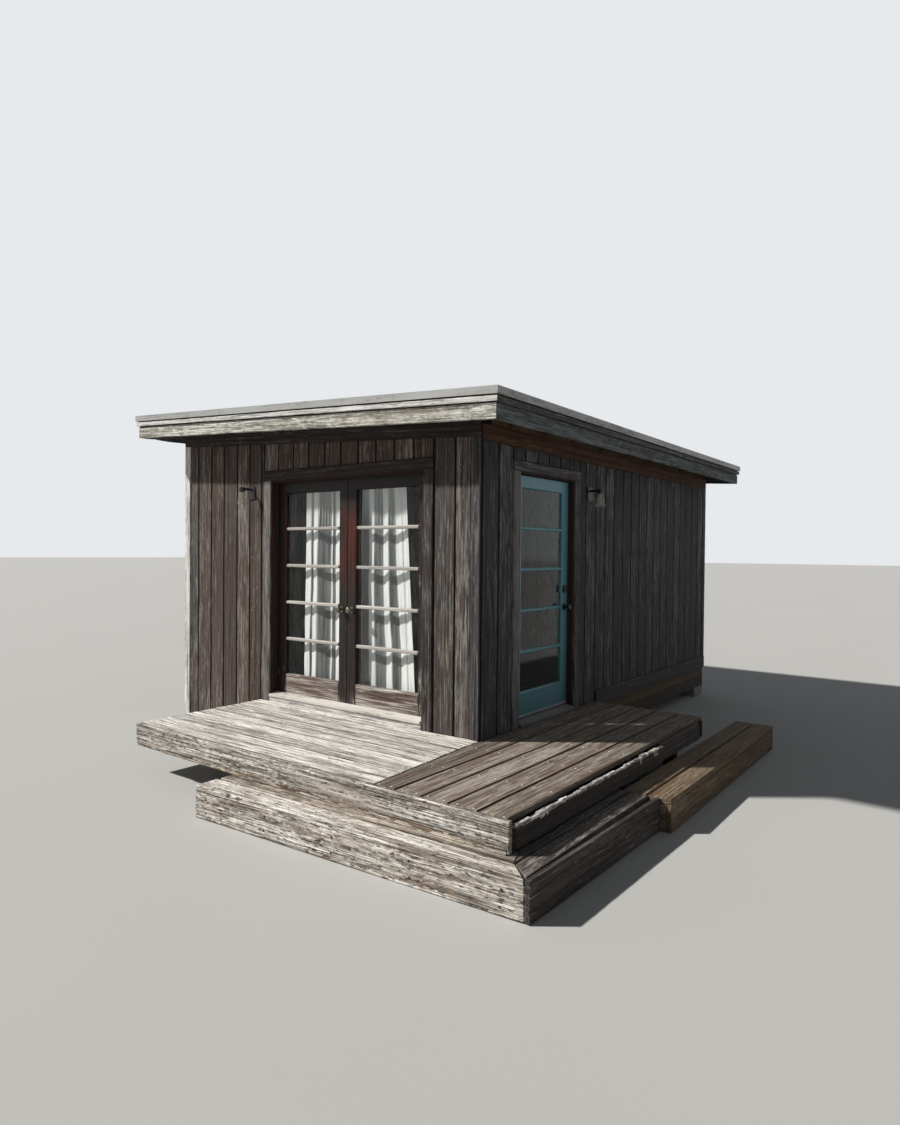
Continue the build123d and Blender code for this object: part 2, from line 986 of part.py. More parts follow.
save(
    curtain(
        [
            (right_curtain_start, curtain_bottom),
            (right_curtain_start + right_curtain_bottom, curtain_bottom),
            (right_curtain_start + curtain_top_width, curtain_top),
            (right_curtain_start, curtain_top),
        ]
    ),
    "curtain_right",
)


def upright_plane(face, across, up, out):
    """Level plane at a point given on an elevation plane."""
    return Plane(origin=face.from_local_coords(Vector(across, up, out)), x_dir=face.z_dir, z_dir=(0, 0, 1))


light_height = leaf_top - light_below_leaf_top


def light_bracket(face, across):
    """Back plate, straight arm from its upper half and the turned cap at the arm's end."""
    with BuildPart() as bracket:
        with BuildSketch(face):
            with Locations((across, light_height - light_plate_drop)):
                RectangleRounded(light_plate_width, light_plate_height, light_plate_width / 5)
        extrude(amount=light_plate_thickness)
        with BuildSketch(face.offset(light_plate_thickness)):
            with Locations((across, light_height)):
                Circle(light_arm_radius)
        extrude(amount=light_reach - light_plate_thickness)
        with BuildSketch(upright_plane(face, across, light_height + light_cap_top, light_reach)):
            Circle(light_cap_radius)
        extrude(amount=-light_cap_height)
    return bracket


def light_shade(face, across):
    """Bell of thin glass, open below, hung from the cap."""
    top = upright_plane(face, across, light_height + light_cap_top - light_cap_height, light_reach)
    side_view = Plane(origin=top.origin, x_dir=face.z_dir, z_dir=face.x_dir)
    down = -1 if side_view.y_dir.Z > 0 else 1
    with BuildPart() as shade:
        with BuildSketch(side_view):
            Polygon(
                (0, 0),
                (shade_neck_radius, 0),
                (shade_mouth_radius, down * shade_length),
                (shade_mouth_radius - shade_wall, down * shade_length),
                (shade_neck_radius - shade_wall, down * shade_wall),
                (0, down * shade_wall),
                align=None,
            )
        revolve(axis=Axis(top.origin, (0, 0, 1)))
    return shade


save(
    gather([light_bracket(front_face, front_light_x), light_bracket(side_face, side_light_y)]),
    "light_brackets",
)
save(gather([light_shade(front_face, front_light_x), light_shade(side_face, side_light_y)]), "light_shades")

# Deck: long boards in front, boards turned along the side, all on joists and posts
deck_band = (-deck_board_thickness, 0)
joist_band = (-deck_board_thickness - deck_joist_depth, -deck_board_thickness)
rim_inner = -deck_front_depth + deck_rim_thickness
front_boards = plan_board(
    [(-deck_left_end, rim_inner), (mitre_skew, rim_inner), (0, 0), (-deck_left_end, 0)],
    deck_band,
)
side_boards = [
    plan_board(
        [
            (mitre_skew + deck_side_gap, rim_inner),
            (first_board_width, rim_inner),
            (first_board_width, deck_side_length),
            (deck_side_gap, deck_side_length),
            (deck_side_gap, 0),
        ],
        deck_band,
    )
]
board_room = deck_side_width - first_board_width - side_board_gap * side_board_count
side_board_width = board_room / side_board_count
for index in range(side_board_count):
    board_left = first_board_width + side_board_gap + index * (side_board_width + side_board_gap)
    side_boards.append(
        slab((board_left, board_left + side_board_width), (rim_inner, deck_side_length), deck_band)
    )
save(gather([front_boards] + side_boards), "deck_boards")
side_rim_band = (-side_rim_drop - side_rim_height, -side_rim_drop)
near_rim_x = side_rim_face - deck_rim_thickness
far_rim_x = near_rim_x - side_rim_offset
save(
    gather(
        [
            slab(
                (-deck_left_end, deck_rim_right_end),
                (-deck_front_depth, rim_inner),
                (-deck_rim_height, 0),
            ),
            slab(
                (near_rim_x, side_rim_face),
                (rim_inner + butt_gap, side_rim_split - butt_gap),
                side_rim_band,
            ),
            slab(
                (far_rim_x, far_rim_x + deck_rim_thickness),
                (side_rim_split, side_rim_end),
                side_rim_band,
            ),
        ]
    ),
    "deck_rim",
)
front_joist_pitch = (deck_left_end - joist_width) / (front_joist_count - 1)
front_joists = [
    slab(
        (
            -deck_left_end + index * front_joist_pitch,
            -deck_left_end + index * front_joist_pitch + joist_width,
        ),
        (rim_inner, 0),
        joist_band,
    )
    for index in range(front_joist_count)
]
side_joist_pitch = (deck_side_length - rim_inner - joist_width) / (side_joist_count - 1)
side_joist_starts = [rim_inner + index * side_joist_pitch for index in range(side_joist_count)]
side_joists = [
    slab(
        (deck_side_gap, near_rim_x if start + joist_width < side_rim_split else far_rim_x),
        (start, start + joist_width),
        joist_band,
    )
    for start in side_joist_starts
]
save(gather(front_joists + side_joists), "deck_joists")
post_band = (-deck_height, joist_band[0])
front_post_y = rim_inner / 2
post_spots = [
    (-deck_left_end + index * front_joist_pitch + joist_width / 2, front_post_y) for index in (0, 2, 4)
]
post_spots += [(far_rim_x - post_size, start + joist_width / 2) for start in side_joist_starts[1::2]]
save(
    gather(
        slab((x - post_size / 2, x + post_size / 2), (y - post_size / 2, y + post_size / 2), post_band)
        for x, y in post_spots
    ),
    "deck_posts",
)

# Front step: two treads on a riser, bearers and a back board
# The treads tuck in just under the rim of the deck
step_top = deck_rim_height + step_join_gap
tread_band = (-step_top - tread_thickness, -step_top)
riser_band = (-deck_height, -step_top - tread_thickness)
front_slope = (front_step_outer_left - front_step_outer_right) / (side_riser_near + front_step_left)


def step_front(x, back=0.0):
    """Y of the slightly skewed front of the step at x."""
    return -front_step_outer_left + front_slope * (x + front_step_left) + back


outer_end = side_riser_near - riser_thickness - step_join_gap
inner_corner = (side_tread_inner + tread_gap * 4, -front_tread_joint_right)
front_treads = [
    plan_board(
        [
            (-front_step_left, step_front(-front_step_left)),
            (outer_end, step_front(outer_end)),
            inner_corner,
            (-front_step_left, -front_tread_joint_left),
        ],
        tread_band,
    ),
    plan_board(
        [
            (-front_step_left, -front_tread_joint_left + tread_gap),
            (inner_corner[0] - tread_gap, inner_corner[1] + tread_gap),
            (side_tread_inner - tread_gap, -inner_tread_back),
            (-front_step_left, -inner_tread_back),
        ],
        tread_band,
    ),
]
bearer_back = -inner_tread_back - riser_thickness
bearer_pitch = (side_tread_inner + front_step_left - bearer_width) / 4
bearers = []
for index in range(5):
    bearer_left = -front_step_left + index * bearer_pitch
    bearer_front = step_front(bearer_left + bearer_width, riser_thickness + butt_gap)
    bearers.append(
        slab((bearer_left, bearer_left + bearer_width), (bearer_front, bearer_back - butt_gap), riser_band)
    )
front_riser = plan_board(
    [
        (-front_step_left, step_front(-front_step_left)),
        (outer_end, step_front(outer_end)),
        (outer_end, step_front(outer_end, riser_thickness)),
        (-front_step_left, step_front(-front_step_left, riser_thickness)),
    ],
    riser_band,
)
back_board = slab(
    (-front_step_left, side_tread_inner - tread_gap), (bearer_back, -inner_tread_back), riser_band
)

# Side step, nearer length: one tread mitred to the front step and a riser on edge beyond it
near_tread_inner = inner_corner[0] + mitre_gap
near_tread = plan_board(
    [
        (near_tread_inner, inner_corner[1] + mitre_gap),
        (side_tread_outer + mitre_gap, step_front(side_tread_outer) + tread_gap * 2),
        (side_tread_outer, near_step_end),
        (near_tread_inner, near_step_end),
    ],
    tread_band,
)
inner_tread_end = side_tread_inner - tread_gap + mitre_gap
near_inner_tread = plan_board(
    [
        (inner_corner[0] - tread_gap + mitre_gap / 2, inner_corner[1] + tread_gap + mitre_gap),
        (near_tread_inner - tread_gap, near_step_end),
        (hidden_tread_side, near_step_end),
        (hidden_tread_side, -inner_tread_back + mitre_gap),
        (inner_tread_end, -inner_tread_back + mitre_gap),
    ],
    tread_band,
)
near_riser = plan_board(
    [
        (side_riser_near - riser_thickness, step_front(side_riser_near)),
        (side_riser_near, step_front(side_riser_near)),
        (side_riser_far, near_step_end),
        (side_riser_far - riser_thickness, near_step_end),
    ],
    (-deck_height, -step_top),
)
near_skew = (side_riser_far - side_riser_near) / (near_step_end - step_front(side_riser_near))


def riser_inside(y):
    """X of the inner face of the skewed riser at y."""
    return side_riser_near - riser_thickness + near_skew * (y - step_front(side_riser_near))


bearer_starts = (
    inner_corner[1] + tread_gap,
    (inner_corner[1] + near_step_end) / 2,
    near_step_end - bearer_width,
)
near_bearers = [
    slab((left, riser_inside(start) - step_join_gap), (start, start + bearer_width), riser_band)
    for left, start in zip((near_tread_inner, hidden_tread_side, hidden_tread_side), bearer_starts)
]

# Side step, farther length: a separate box of two treads
far_step_start = near_step_end + step_join_gap
far_split = (side_tread_inner + far_step_outer) / 2
far_treads = [
    slab((side_tread_inner, far_split - tread_gap / 2), (far_step_start, far_step_end), tread_band),
    slab((far_split + tread_gap / 2, far_step_outer), (far_step_start, far_step_end), tread_band),
]
save(gather(front_treads + [near_inner_tread, near_tread] + far_treads), "step_treads")
far_rails = [
    slab(
        (side_tread_inner, side_tread_inner + riser_thickness),
        (far_step_start, far_step_end),
        riser_band,
    ),
    slab((far_step_outer - riser_thickness, far_step_outer), (far_step_start, far_step_end), riser_band),
]
far_pitch = (far_step_end - far_step_start - bearer_width) / 4
far_bearers = [
    slab(
        (side_tread_inner + riser_thickness + butt_gap, far_step_outer - riser_thickness - butt_gap),
        (far_step_start + index * far_pitch, far_step_start + index * far_pitch + bearer_width),
        riser_band,
    )
    for index in range(5)
]
save(
    gather([front_riser, back_board, near_riser] + bearers + near_bearers + far_rails + far_bearers),
    "step_frames",
)
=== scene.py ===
"""Garden office pod: boards, cloth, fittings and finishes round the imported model."""
import logging
import math
import random
from dataclasses import dataclass
from enum import Enum
from itertools import product
from typing import Iterable, Iterator, Sequence

import bmesh
import bpy
from mathutils import Matrix, Vector, noise


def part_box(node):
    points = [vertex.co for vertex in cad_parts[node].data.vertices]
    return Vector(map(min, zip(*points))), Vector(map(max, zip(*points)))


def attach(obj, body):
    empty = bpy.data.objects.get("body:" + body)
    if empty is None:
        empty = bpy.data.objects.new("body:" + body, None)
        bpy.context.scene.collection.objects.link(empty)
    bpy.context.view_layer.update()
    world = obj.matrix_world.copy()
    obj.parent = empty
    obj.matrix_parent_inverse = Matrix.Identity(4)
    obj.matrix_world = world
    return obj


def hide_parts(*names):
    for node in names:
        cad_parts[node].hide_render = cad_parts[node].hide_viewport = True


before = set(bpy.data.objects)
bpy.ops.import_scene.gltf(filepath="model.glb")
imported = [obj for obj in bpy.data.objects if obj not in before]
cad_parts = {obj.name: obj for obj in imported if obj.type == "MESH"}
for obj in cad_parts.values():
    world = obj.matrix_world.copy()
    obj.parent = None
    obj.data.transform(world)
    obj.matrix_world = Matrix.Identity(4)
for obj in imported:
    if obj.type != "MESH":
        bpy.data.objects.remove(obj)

log = logging.getLogger("garden_pod")
logging.basicConfig(level=logging.INFO, format="%(message)s")
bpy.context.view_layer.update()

Triple = tuple[float, float, float]
Colour = Triple
Point = tuple[float, float]
Material = bpy.types.Material


def srgb(red: float, green: float, blue: float) -> Colour:
    """Turn a colour as seen, 0 to 255, into the linear colour a shader takes."""
    shares = (level / 255 for level in (red, green, blue))
    return tuple(share / 12.92 if share < 0.04045 else ((share + 0.055) / 1.055) ** 2.4 for share in shares)


# The near corner of the walls at deck level, from which every place below is given, in metres
NEAR_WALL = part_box("front_wall_right")
WALL_CORNER = Vector((NEAR_WALL[1][0], NEAR_WALL[0][1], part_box("deck_boards")[1][2]))
GROUND = -WALL_CORNER.z
WALL_WIDTH = 3.810
WALL_DEPTH = 5.200

# The roof falls to the right: its fall per metre, the top of its right-hand edge and how far that reaches
ROOF_FALL = 0.055
EAVE_TOP = 2.592
EAVE_REACH = 0.380

# Measures that several pieces share; a hair is the gap that keeps touching faces apart
HAIR = 0.0003
TRIM_THICK = 0.019
PLANK_THICK = 0.038
CORNER_WIDTH = 0.089
FRIEZE_DROP = 0.194
FRIEZE_HIGH = 0.125
FRONT_FOOT = -0.360
FRONT_DOORWAY = (-2.5255, -0.4585)


def roof_height(x: float, below: float = 0.0) -> float:
    """Height of a line a given depth below the top of the roof at x."""
    return EAVE_TOP + ROOF_FALL * (EAVE_REACH - x) - below


def spaced(start: float, end: float, count: int) -> list[float]:
    """Places from start to end at even steps."""
    return [start + index * (end - start) / (count - 1) for index in range(count)]


class Grain(Enum):
    """Which way the grain runs, and the turn that lays X along it; a board has its own coordinates."""

    BOARD = None
    X = (0.0, 0.0, 0.0)
    Y = (0.0, 0.0, -math.pi / 2)
    Z = (0.0, math.pi / 2, 0.0)


class Socket:
    """A shader value that can be written in plain arithmetic."""

    def __init__(self, tree: "Tree", link: bpy.types.NodeSocket) -> None:
        """Wrap a node's output."""
        self.tree = tree
        self.link = link

    def _maths(self, operation: str, *values: "Socket | float") -> "Socket":
        """Add one Math node."""
        return self.tree.node("ShaderNodeMath", {"operation": operation}, dict(enumerate(values)))

    def __add__(self, other: "Socket | float") -> "Socket":
        """Sum."""
        return self._maths("ADD", self, other)

    def __radd__(self, other: float) -> "Socket":
        """Sum with a number first."""
        return self._maths("ADD", other, self)

    def __sub__(self, other: "Socket | float") -> "Socket":
        """Difference."""
        return self._maths("SUBTRACT", self, other)

    def __rsub__(self, other: float) -> "Socket":
        """Difference from a number."""
        return self._maths("SUBTRACT", other, self)

    def __mul__(self, other: "Socket | float") -> "Socket":
        """Product."""
        return self._maths("MULTIPLY", self, other)

    def __rmul__(self, other: float) -> "Socket":
        """Product with a number first."""
        return self._maths("MULTIPLY", other, self)

    def __abs__(self) -> "Socket":
        """Size without its sign."""
        return self._maths("ABSOLUTE", self)

    def sine(self) -> "Socket":
        """Sine of an angle."""
        return self._maths("SINE", self)

    def smooth(self, low: float, high: float) -> "Socket":
        """A soft step from 0 at low to 1 at high.

        Args:
            low: Where the step starts.
            high: Where it ends.

        Returns:
            The step.
        """
        return self.tree.node(
            "ShaderNodeMapRange",
            {"interpolation_type": "SMOOTHSTEP"},
            {"Value": self, "From Min": low, "From Max": high, "To Min": 0.0, "To Max": 1.0},
        )

    def vein(self, width: float) -> "Socket":
        """1 along the thin lines where noise crosses its middle, and 0 away from them."""
        return 1 - abs(self - 0.5).smooth(0.0, width)

    def least(self, other: "Socket") -> "Socket":
        """The lower of two values."""
        return self._maths("MINIMUM", self, other)

    def most(self, other: "Socket") -> "Socket":
        """The higher of two values."""
        return self._maths("MAXIMUM", self, other)

    def above(self, level: float) -> "Socket":
        """1 where the value is over the level and 0 elsewhere."""
        return self._maths("GREATER_THAN", self, level)


class Tree:
    """The node tree of a material or of the world."""

    def __init__(self, owner: Material | bpy.types.World) -> None:
        """Start with no nodes.

        Args:
            owner: The material or world whose nodes these are.
        """
        self.owner = owner
        owner.use_nodes = True
        owner.node_tree.nodes.clear()

    def node(self, kind: str, settings: dict | None = None, inputs: dict | None = None,
             out: int | str = 0) -> Socket:
        """Add a node, set it up and link its inputs.

        Args:
            kind: The node's type.
            settings: Attributes, set first.
            inputs: Values or sockets by input name or index.
            out: Which output to return.

        Returns:
            The wrapped output.
        """
        made = self.owner.node_tree.nodes.new(kind)
        for key, value in (settings or {}).items():
            setattr(made, key, value)
        for key, value in (inputs or {}).items():
            if isinstance(value, Socket):
                self.owner.node_tree.links.new(value.link, made.inputs[key])
            elif made.inputs[key].type == "RGBA":
                made.inputs[key].default_value = (*value, 1.0)
            else:
                made.inputs[key].default_value = value
        return Socket(self, made.outputs[out] if made.outputs else None)

    def here(self) -> Socket:
        """Coordinates in metres."""
        return self.node("ShaderNodeTexCoord", out="Object")

    def read(self, layer: str, out: str = "Fac") -> Socket:
        """What a layer of the mesh holds."""
        return self.node("ShaderNodeAttribute", {"attribute_name": layer}, out=out)

    def part(self, place: Socket, axis: str) -> Socket:
        """One axis of a coordinate."""
        return self.node("ShaderNodeSeparateXYZ", None, {0: place}, out=axis)

    def turned(self, place: Socket, turn: Triple) -> Socket:
        """Turn a coordinate."""
        return self.node("ShaderNodeMapping", {"vector_type": "POINT"}, {"Vector": place, "Rotation": turn})

    def stretched(self, place: Socket, scale: Triple) -> Socket:
        """Scale a coordinate, as for grain that is long one way."""
        return self.node("ShaderNodeVectorMath", {"operation": "MULTIPLY"}, {0: place, 1: scale})

    def noise(self, place: Socket, scale: Triple, detail: float, rough: float, bend: float = 0.0) -> Socket:
        """Noise on a stretched coordinate.

        Args:
            place: The coordinate.
            scale: The stretch along X, Y and Z.
            detail: How many finer layers it has.
            rough: How strong those layers are.
            bend: How far it is distorted.

        Returns:
            The noise, from 0 to 1.
        """
        inputs = {"Vector": self.stretched(place, scale), "Scale": 1.0}
        inputs |= {"Detail": detail, "Roughness": rough, "Distortion": bend}
        return self.node("ShaderNodeTexNoise", {"noise_dimensions": "3D"}, inputs)

    def mix(self, share: "Socket | float", first: "Socket | Colour", second: "Socket | Colour") -> Socket:
        """Blend two colours: first where share is 0, second where it is 1."""
        inputs = {"Factor": share, 6: first, 7: second}
        return self.node("ShaderNodeMix", {"data_type": "RGBA"}, inputs, out=2)

    def blend(self, share: Socket, first: Socket, second: Socket) -> Socket:
        """Blend two shaders in the same way."""
        return self.node("ShaderNodeMixShader", None, {0: share, 1: first, 2: second})

    def bump(self, height: Socket, distance: float, strength: float = 1.0) -> Socket:
        """Relief."""
        inputs = {"Height": height, "Distance": distance, "Strength": strength}
        return self.node("ShaderNodeBump", None, inputs)

    def skin(self, colour: Socket, rough: Socket, bump: Socket, more: dict) -> Socket:
        """A surface of a colour, a roughness and a relief, with more inputs by name."""
        inputs = {"Base Color": colour, "Roughness": rough, "Normal": bump, **more}
        return self.node("ShaderNodeBsdfPrincipled", None, inputs)

    def finish(self, shader: Socket, output: str = "Material") -> Material | bpy.types.World:
        """Link the last shader to the output."""
        self.node(f"ShaderNodeOutput{output}", None, {"Surface": shader})
        return self.owner


@dataclass(frozen=True)
class Finish:
    """A finish, which becomes one material."""

    name: str

    def surface(self, tree: Tree) -> Socket:
        """The shader, made by each kind of finish."""
        raise NotImplementedError

    def material(self) -> Material:
        """Make the material."""
        tree = Tree(bpy.data.materials.new(self.name))
        return tree.finish(self.surface(tree))


def make_materials(*finishes: Finish) -> list[Material]:
    """Make the materials of several finishes."""
    return [finish.material() for finish in finishes]


@dataclass(frozen=True)
class Timber(Finish):
    """Bare, stained or weathered wood."""

    body: Colour
    pale: Colour
    deep: Colour
    grain: Grain = Grain.BOARD
    bleach: float = 0.5
    blotch: Colour | None = None
    blotch_share: float = 0.4
    spread: float = 0.25
    check: float = 1.0
    rough: float = 0.85
    relief: float = 0.0012
    flecks: float = 0.0
    knots: float = 0.0
    grit: float = 1.8
    blob: float = 5.0
    band: float = 42.0
    pits: float = 0.0
    hair: float = 0.0
    seam: float = 0.0

    def place(self, tree: Tree) -> Socket:
        """Coordinates with X along the grain, in metres.

        Args:
            tree: The material's nodes.

        Returns:
            The coordinates.
        """
        if self.grain is Grain.BOARD:
            return tree.read("timber", "Vector")
        return tree.turned(tree.here(), self.grain.value)

    def marks(self, tree: Tree, place: Socket, mottle: Socket) -> Iterator[Socket]:
        """Knots, hair cracks, pits and the dark edges of boards.

        Args:
            tree: The material being made.
            place: Coordinates with X along the grain.
            mottle: Noise that breaks the marks up.

        Yields:
            The share of the colour that each kind of mark takes away.
        """
        if self.knots:
            cell = tree.node("ShaderNodeTexVoronoi", {"feature": "F1"},
                             {"Vector": tree.stretched(place, (1.4, 5, 5)), "Scale": 1.0}, out="Distance")
            ring = (cell + (mottle - 0.5) * 0.12).smooth(0.05, 0.12)
            yield (1 - ring) * 0.6 * self.knots
        if self.hair:
            lines = tree.noise(place, (0.7, 85, 85), 1, 0.5, 0.1)
            yield lines.vein(0.03) * mottle.smooth(0.38, 0.52) * 0.55 * self.hair
        if self.pits:
            pock = tree.noise(place, (16, 62, 62), 3, 0.65)
            yield (1 - pock.smooth(0.36, 0.45)) * 0.5 * self.pits
        if self.seam:
            edges = tree.read("edges", "Vector")
            inside = tree.part(edges, "X").least(tree.part(edges, "Y")) + (mottle - 0.5) * 0.012
            yield (1 - inside.smooth(0.0015, 0.008)) * self.seam

    def colour(self, tree: Tree, place: Socket) -> tuple[Socket, Socket, Socket]:
        """Colour, height and wear of the wood.

        Args:
            tree: The material being made.
            place: Coordinates with X along the grain.

        Returns:
            The colour, the relief from 0 to 1 and the share of bleached wood.
        """
        bands = tree.noise(place, (0.8, self.band, self.band), 5, 0.6, 0.15)
        fibre = tree.noise(place, (4, 115, 115), 4, 0.7)
        mottle = tree.noise(place, (self.blob, 30, 30), 5, 0.72, 0.3)
        cloud = tree.noise(place, (0.9, 5, 5), 2, 0.5)
        cracks = tree.noise(place, (1.1, 60, 60), 2, 0.5, 0.2)
        tone = tree.read("tone")
        level = 0.95 + self.spread / 2 - 0.4 * (self.bleach - 0.5)
        summed = mottle * 0.9 + bands * 0.4 + fibre * 0.3 + cloud * 0.3 + tone * self.spread
        streak = (summed - level).smooth(-0.11, 0.13)
        split = cracks.vein(0.014 * self.check + 0.0001) * (cloud + mottle).smooth(0.8, 1.05)
        wood = tree.mix(streak, tree.mix(bands.smooth(0.34, 0.6), self.deep, self.body), self.pale)
        if self.blotch:
            stain = tree.noise(place, (1.6, 16, 16), 4, 0.6, 0.3) + tone * 0.1
            reach = self.blotch_share * 0.3
            wood = tree.mix(stain.smooth(0.66 - reach, 0.86 - reach) * 0.7, wood, self.blotch)
        fine = ((fibre - 0.5) * self.grit + 1) * ((tone - 0.5) * self.spread * 1.3 + 1)
        for mark in self.marks(tree, place, mottle):
            fine = fine * (1 - mark)
        inputs = {0: wood, "Scale": fine * (1 - split * 0.7)}
        wood = tree.node("ShaderNodeVectorMath", {"operation": "SCALE"}, inputs)
        if self.flecks:
            size = 0.02 * self.flecks
            spot = tree.noise(place, (22, 70, 70), 2, 0.5).smooth(0.72 - size, 0.76 - size)
            wood = tree.mix(spot * cloud.smooth(0.45, 0.65) * 0.7, wood, srgb(186, 182, 176))
        return wood, bands * 0.3 + fibre * 0.35 + mottle * 0.3 - split * 1.2, streak

    def surface(self, tree: Tree) -> Socket:
        """The shader of the wood.

        Args:
            tree: The material's nodes.

        Returns:
            The shader.
        """
        colour, height, worn = self.colour(tree, self.place(tree))
        rough = worn * 0.1 + (self.rough - 0.05)
        return tree.skin(colour, rough, tree.bump(height, self.relief), {"Specular IOR Level": 0.25})


@dataclass(frozen=True)
class Coated(Finish):
    """Paint, powder coat, metal or felt: a film with wear and dust."""

    film: Colour
    worn: Colour
    wear: float = 0.2
    rough: float = 0.5
    metal: float = 0.0
    grit: float = 40.0
    relief: float = 0.0004
    stretch: Triple = (1.0, 1.0, 1.0)

    def surface(self, tree: Tree) -> Socket:
        """The shader of the film.

        Args:
            tree: The material's nodes.

        Returns:
            The shader.
        """
        here = tree.here()
        scale = tuple(self.grit * share for share in self.stretch)
        grain = tree.noise(here, scale, 5, 0.65)
        cloud = tree.noise(here, tuple(share * 0.09 for share in scale), 3, 0.6)
        lost = (grain * 0.6 + cloud * 0.4 - (0.72 - self.wear * 0.35)).smooth(-0.06, 0.08)
        film = tree.mix(cloud.smooth(0.3, 0.7), self.film, tuple(level * 0.78 for level in self.film))
        colour = tree.mix(lost, film, self.worn)
        bump = tree.bump(grain - lost * 0.5, self.relief)
        return tree.skin(colour, lost * 0.25 + self.rough, bump, {"Metallic": self.metal})


@dataclass(frozen=True)
class LeafWood(Finish):
    """A varnished or painted leaf whose rails, stiles and bars have weathered apart."""

    film: Colour
    faded: Colour
    timber: Timber
    centre: float
    meeting: float
    # Dark colour: in streaks it is real grime on the film; over the top rails it is the painted shadow of the
    # eave.
    crust_and_painted_shadow: Colour = srgb(26, 18, 16)
    rust: Colour = srgb(74, 44, 37)
    bar: Colour = srgb(212, 210, 206)
    half_glass: float = 0.355
    glass_low: float = 0.265
    glass_high: float = 1.980

    def surface(self, tree: Tree) -> Socket:
        """The shader of the leaf.

        Args:
            tree: The material's nodes.

        Returns:
            The shader.
        """
        here = tree.here()
        side = tree.part(here, "X") - (WALL_CORNER.x + self.centre)
        across, height = abs(side), tree.part(here, "Z") - WALL_CORNER.z
        stile = across.above(self.half_glass - 0.004)
        between = height.above(self.glass_low + 0.004) * (1 - height.above(self.glass_high - 0.004))
        bar = (1 - across.above(self.half_glass - 0.012)) * between
        inputs = {"Factor": stile, 4: here, 5: tree.turned(here, Grain.Z.value)}
        place = tree.node("ShaderNodeMix", {"data_type": "VECTOR"}, inputs, out=1)
        wood, relief, _ = self.timber.colour(tree, place)
        flake = tree.noise(place, (5, 50, 50), 5, 0.7, 0.25)
        cloud = tree.noise(here, (1.8, 1.8, 2.6), 3, 0.6)
        foot = (1 - height.above(self.glass_low)) * (1 - stile)
        # More film is kept over the top rails, where the dark colour paints the eave's shadow.
        top = height.above(self.glass_high - 0.1)
        kept = stile * 0.16 + height * 0.08 + cloud * 0.5 + flake * 0.55 + top * 0.3
        cover = (kept - bar * 0.5 - foot * 0.04 - 0.63).smooth(-0.04, 0.05)
        streaks = tree.noise(place, (2.2, 70, 70), 4, 0.6).smooth(0.44, 0.56)
        # Red film only on the meeting stile and a thin lip of the outer one. Elsewhere the film is the darker
        # faded colour, which is partly real and partly painted shade of the casing on the left leaf's outer
        # stile.
        inner = (side * self.meeting).above(0.0)
        lip = 1 - across.above(self.half_glass + 0.016)
        red = (inner + (1 - inner) * lip) * (height + cloud * 0.6 + flake * 0.5).smooth(1.55, 2.0)
        film = tree.mix(streaks * 0.8, tree.mix(red, self.faded, self.film), self.crust_and_painted_shadow)
        # Painted shadow: towards the top of the leaf the film goes to the dark colour, standing in for the
        # eave's shadow.
        film = tree.mix((height + flake * 0.2).smooth(1.78, 2.02), film, self.crust_and_painted_shadow)
        wood = tree.mix(foot * streaks * 0.8, wood, self.rust)
        wood = tree.mix(bar * 0.5, wood, self.bar)
        bump = tree.bump(relief * (1 - cover * 0.6) + cover * 0.5, 0.0008)
        return tree.skin(tree.mix(cover, wood, film), 0.85 - cover * 0.35, bump, {"Specular IOR Level": 0.25})


@dataclass(frozen=True)
class Glazing(Finish):
    """Clear glass with a little dust on it."""

    tint: Colour = (0.975, 0.985, 0.98)
    dust: float = 0.03
    rough: float = 0.03

    def surface(self, tree: Tree) -> Socket:
        """The shader of the glass.

        Args:
            tree: The material's nodes.

        Returns:
            The shader.
        """
        here = tree.here()
        bump = tree.bump(tree.noise(here, (2.5, 2.5, 2.5), 1, 0.4), 0.0015, 0.5)
        clear = tree.node("ShaderNodeBsdfTransparent", None, {"Color": self.tint})
        inputs = {"Color": (0.95, 0.97, 0.97), "Roughness": self.rough, "Normal": bump}
        shine = tree.node("ShaderNodeBsdfAnisotropic", None, inputs)
        film = tree.node("ShaderNodeBsdfDiffuse", None, {"Color": (0.62, 0.6, 0.56)})
        grazing = tree.node("ShaderNodeLayerWeight", None, {"Blend": 0.5}, out="Facing")
        gloss = grazing * grazing
        glass = tree.blend(gloss * gloss * grazing * 0.9 + 0.012, clear, shine)
        grime = tree.noise(here, (9, 9, 4), 5, 0.6).smooth(0.35, 0.8) * self.dust
        return tree.blend(grime, glass, film)


@dataclass(frozen=True)
class Cloth(Finish):
    """Thin woven cotton, laid out on the piece's own UV map in metres."""

    yarn: Colour
    shade: Colour
    # Darkest colour: the painted shade in the backs of the pleats.
    painted_fold_colour: Colour
    pitch: float = 0.0012

    def surface(self, tree: Tree) -> Socket:
        """The shader of the cloth.

        Args:
            tree: The material's nodes.

        Returns:
            The shader.
        """
        flat = tree.node("ShaderNodeUVMap", {"uv_map": "cloth"})
        turns = math.tau / self.pitch
        warp, weft = ((tree.part(flat, axis) * turns).sine() for axis in ("X", "Y"))
        slub = tree.noise(flat, (30, 900, 1), 3, 0.6)
        rumple = tree.noise(flat, (9, 5, 1), 4, 0.6)
        colour = tree.mix(rumple.smooth(0.3, 0.75) * 0.4, self.yarn, self.shade)
        # Painted shade: the cloth darkens towards its darkest colour in the backs of the pleats, as marked on
        # the mesh.
        colour = tree.mix(tree.read("painted_fold_shade") * 0.85, colour, self.painted_fold_colour)
        bump = tree.bump((warp * weft * 0.5 + slub) * 0.08 + rumple, 0.004, 0.8)
        more = {"Sheen Weight": 0.25, "Specular IOR Level": 0.2}
        return tree.skin(colour, slub * 0.1 + 0.82, bump, more)


@dataclass(frozen=True)
class Wear:
    """How far a board has moved from its sawn shape, in metres."""

    step: float = 0.15
    edge: float = 0.0025
    wander: float = 0.0012
    bite: float = 0.0
    bite_pitch: float = 5.0


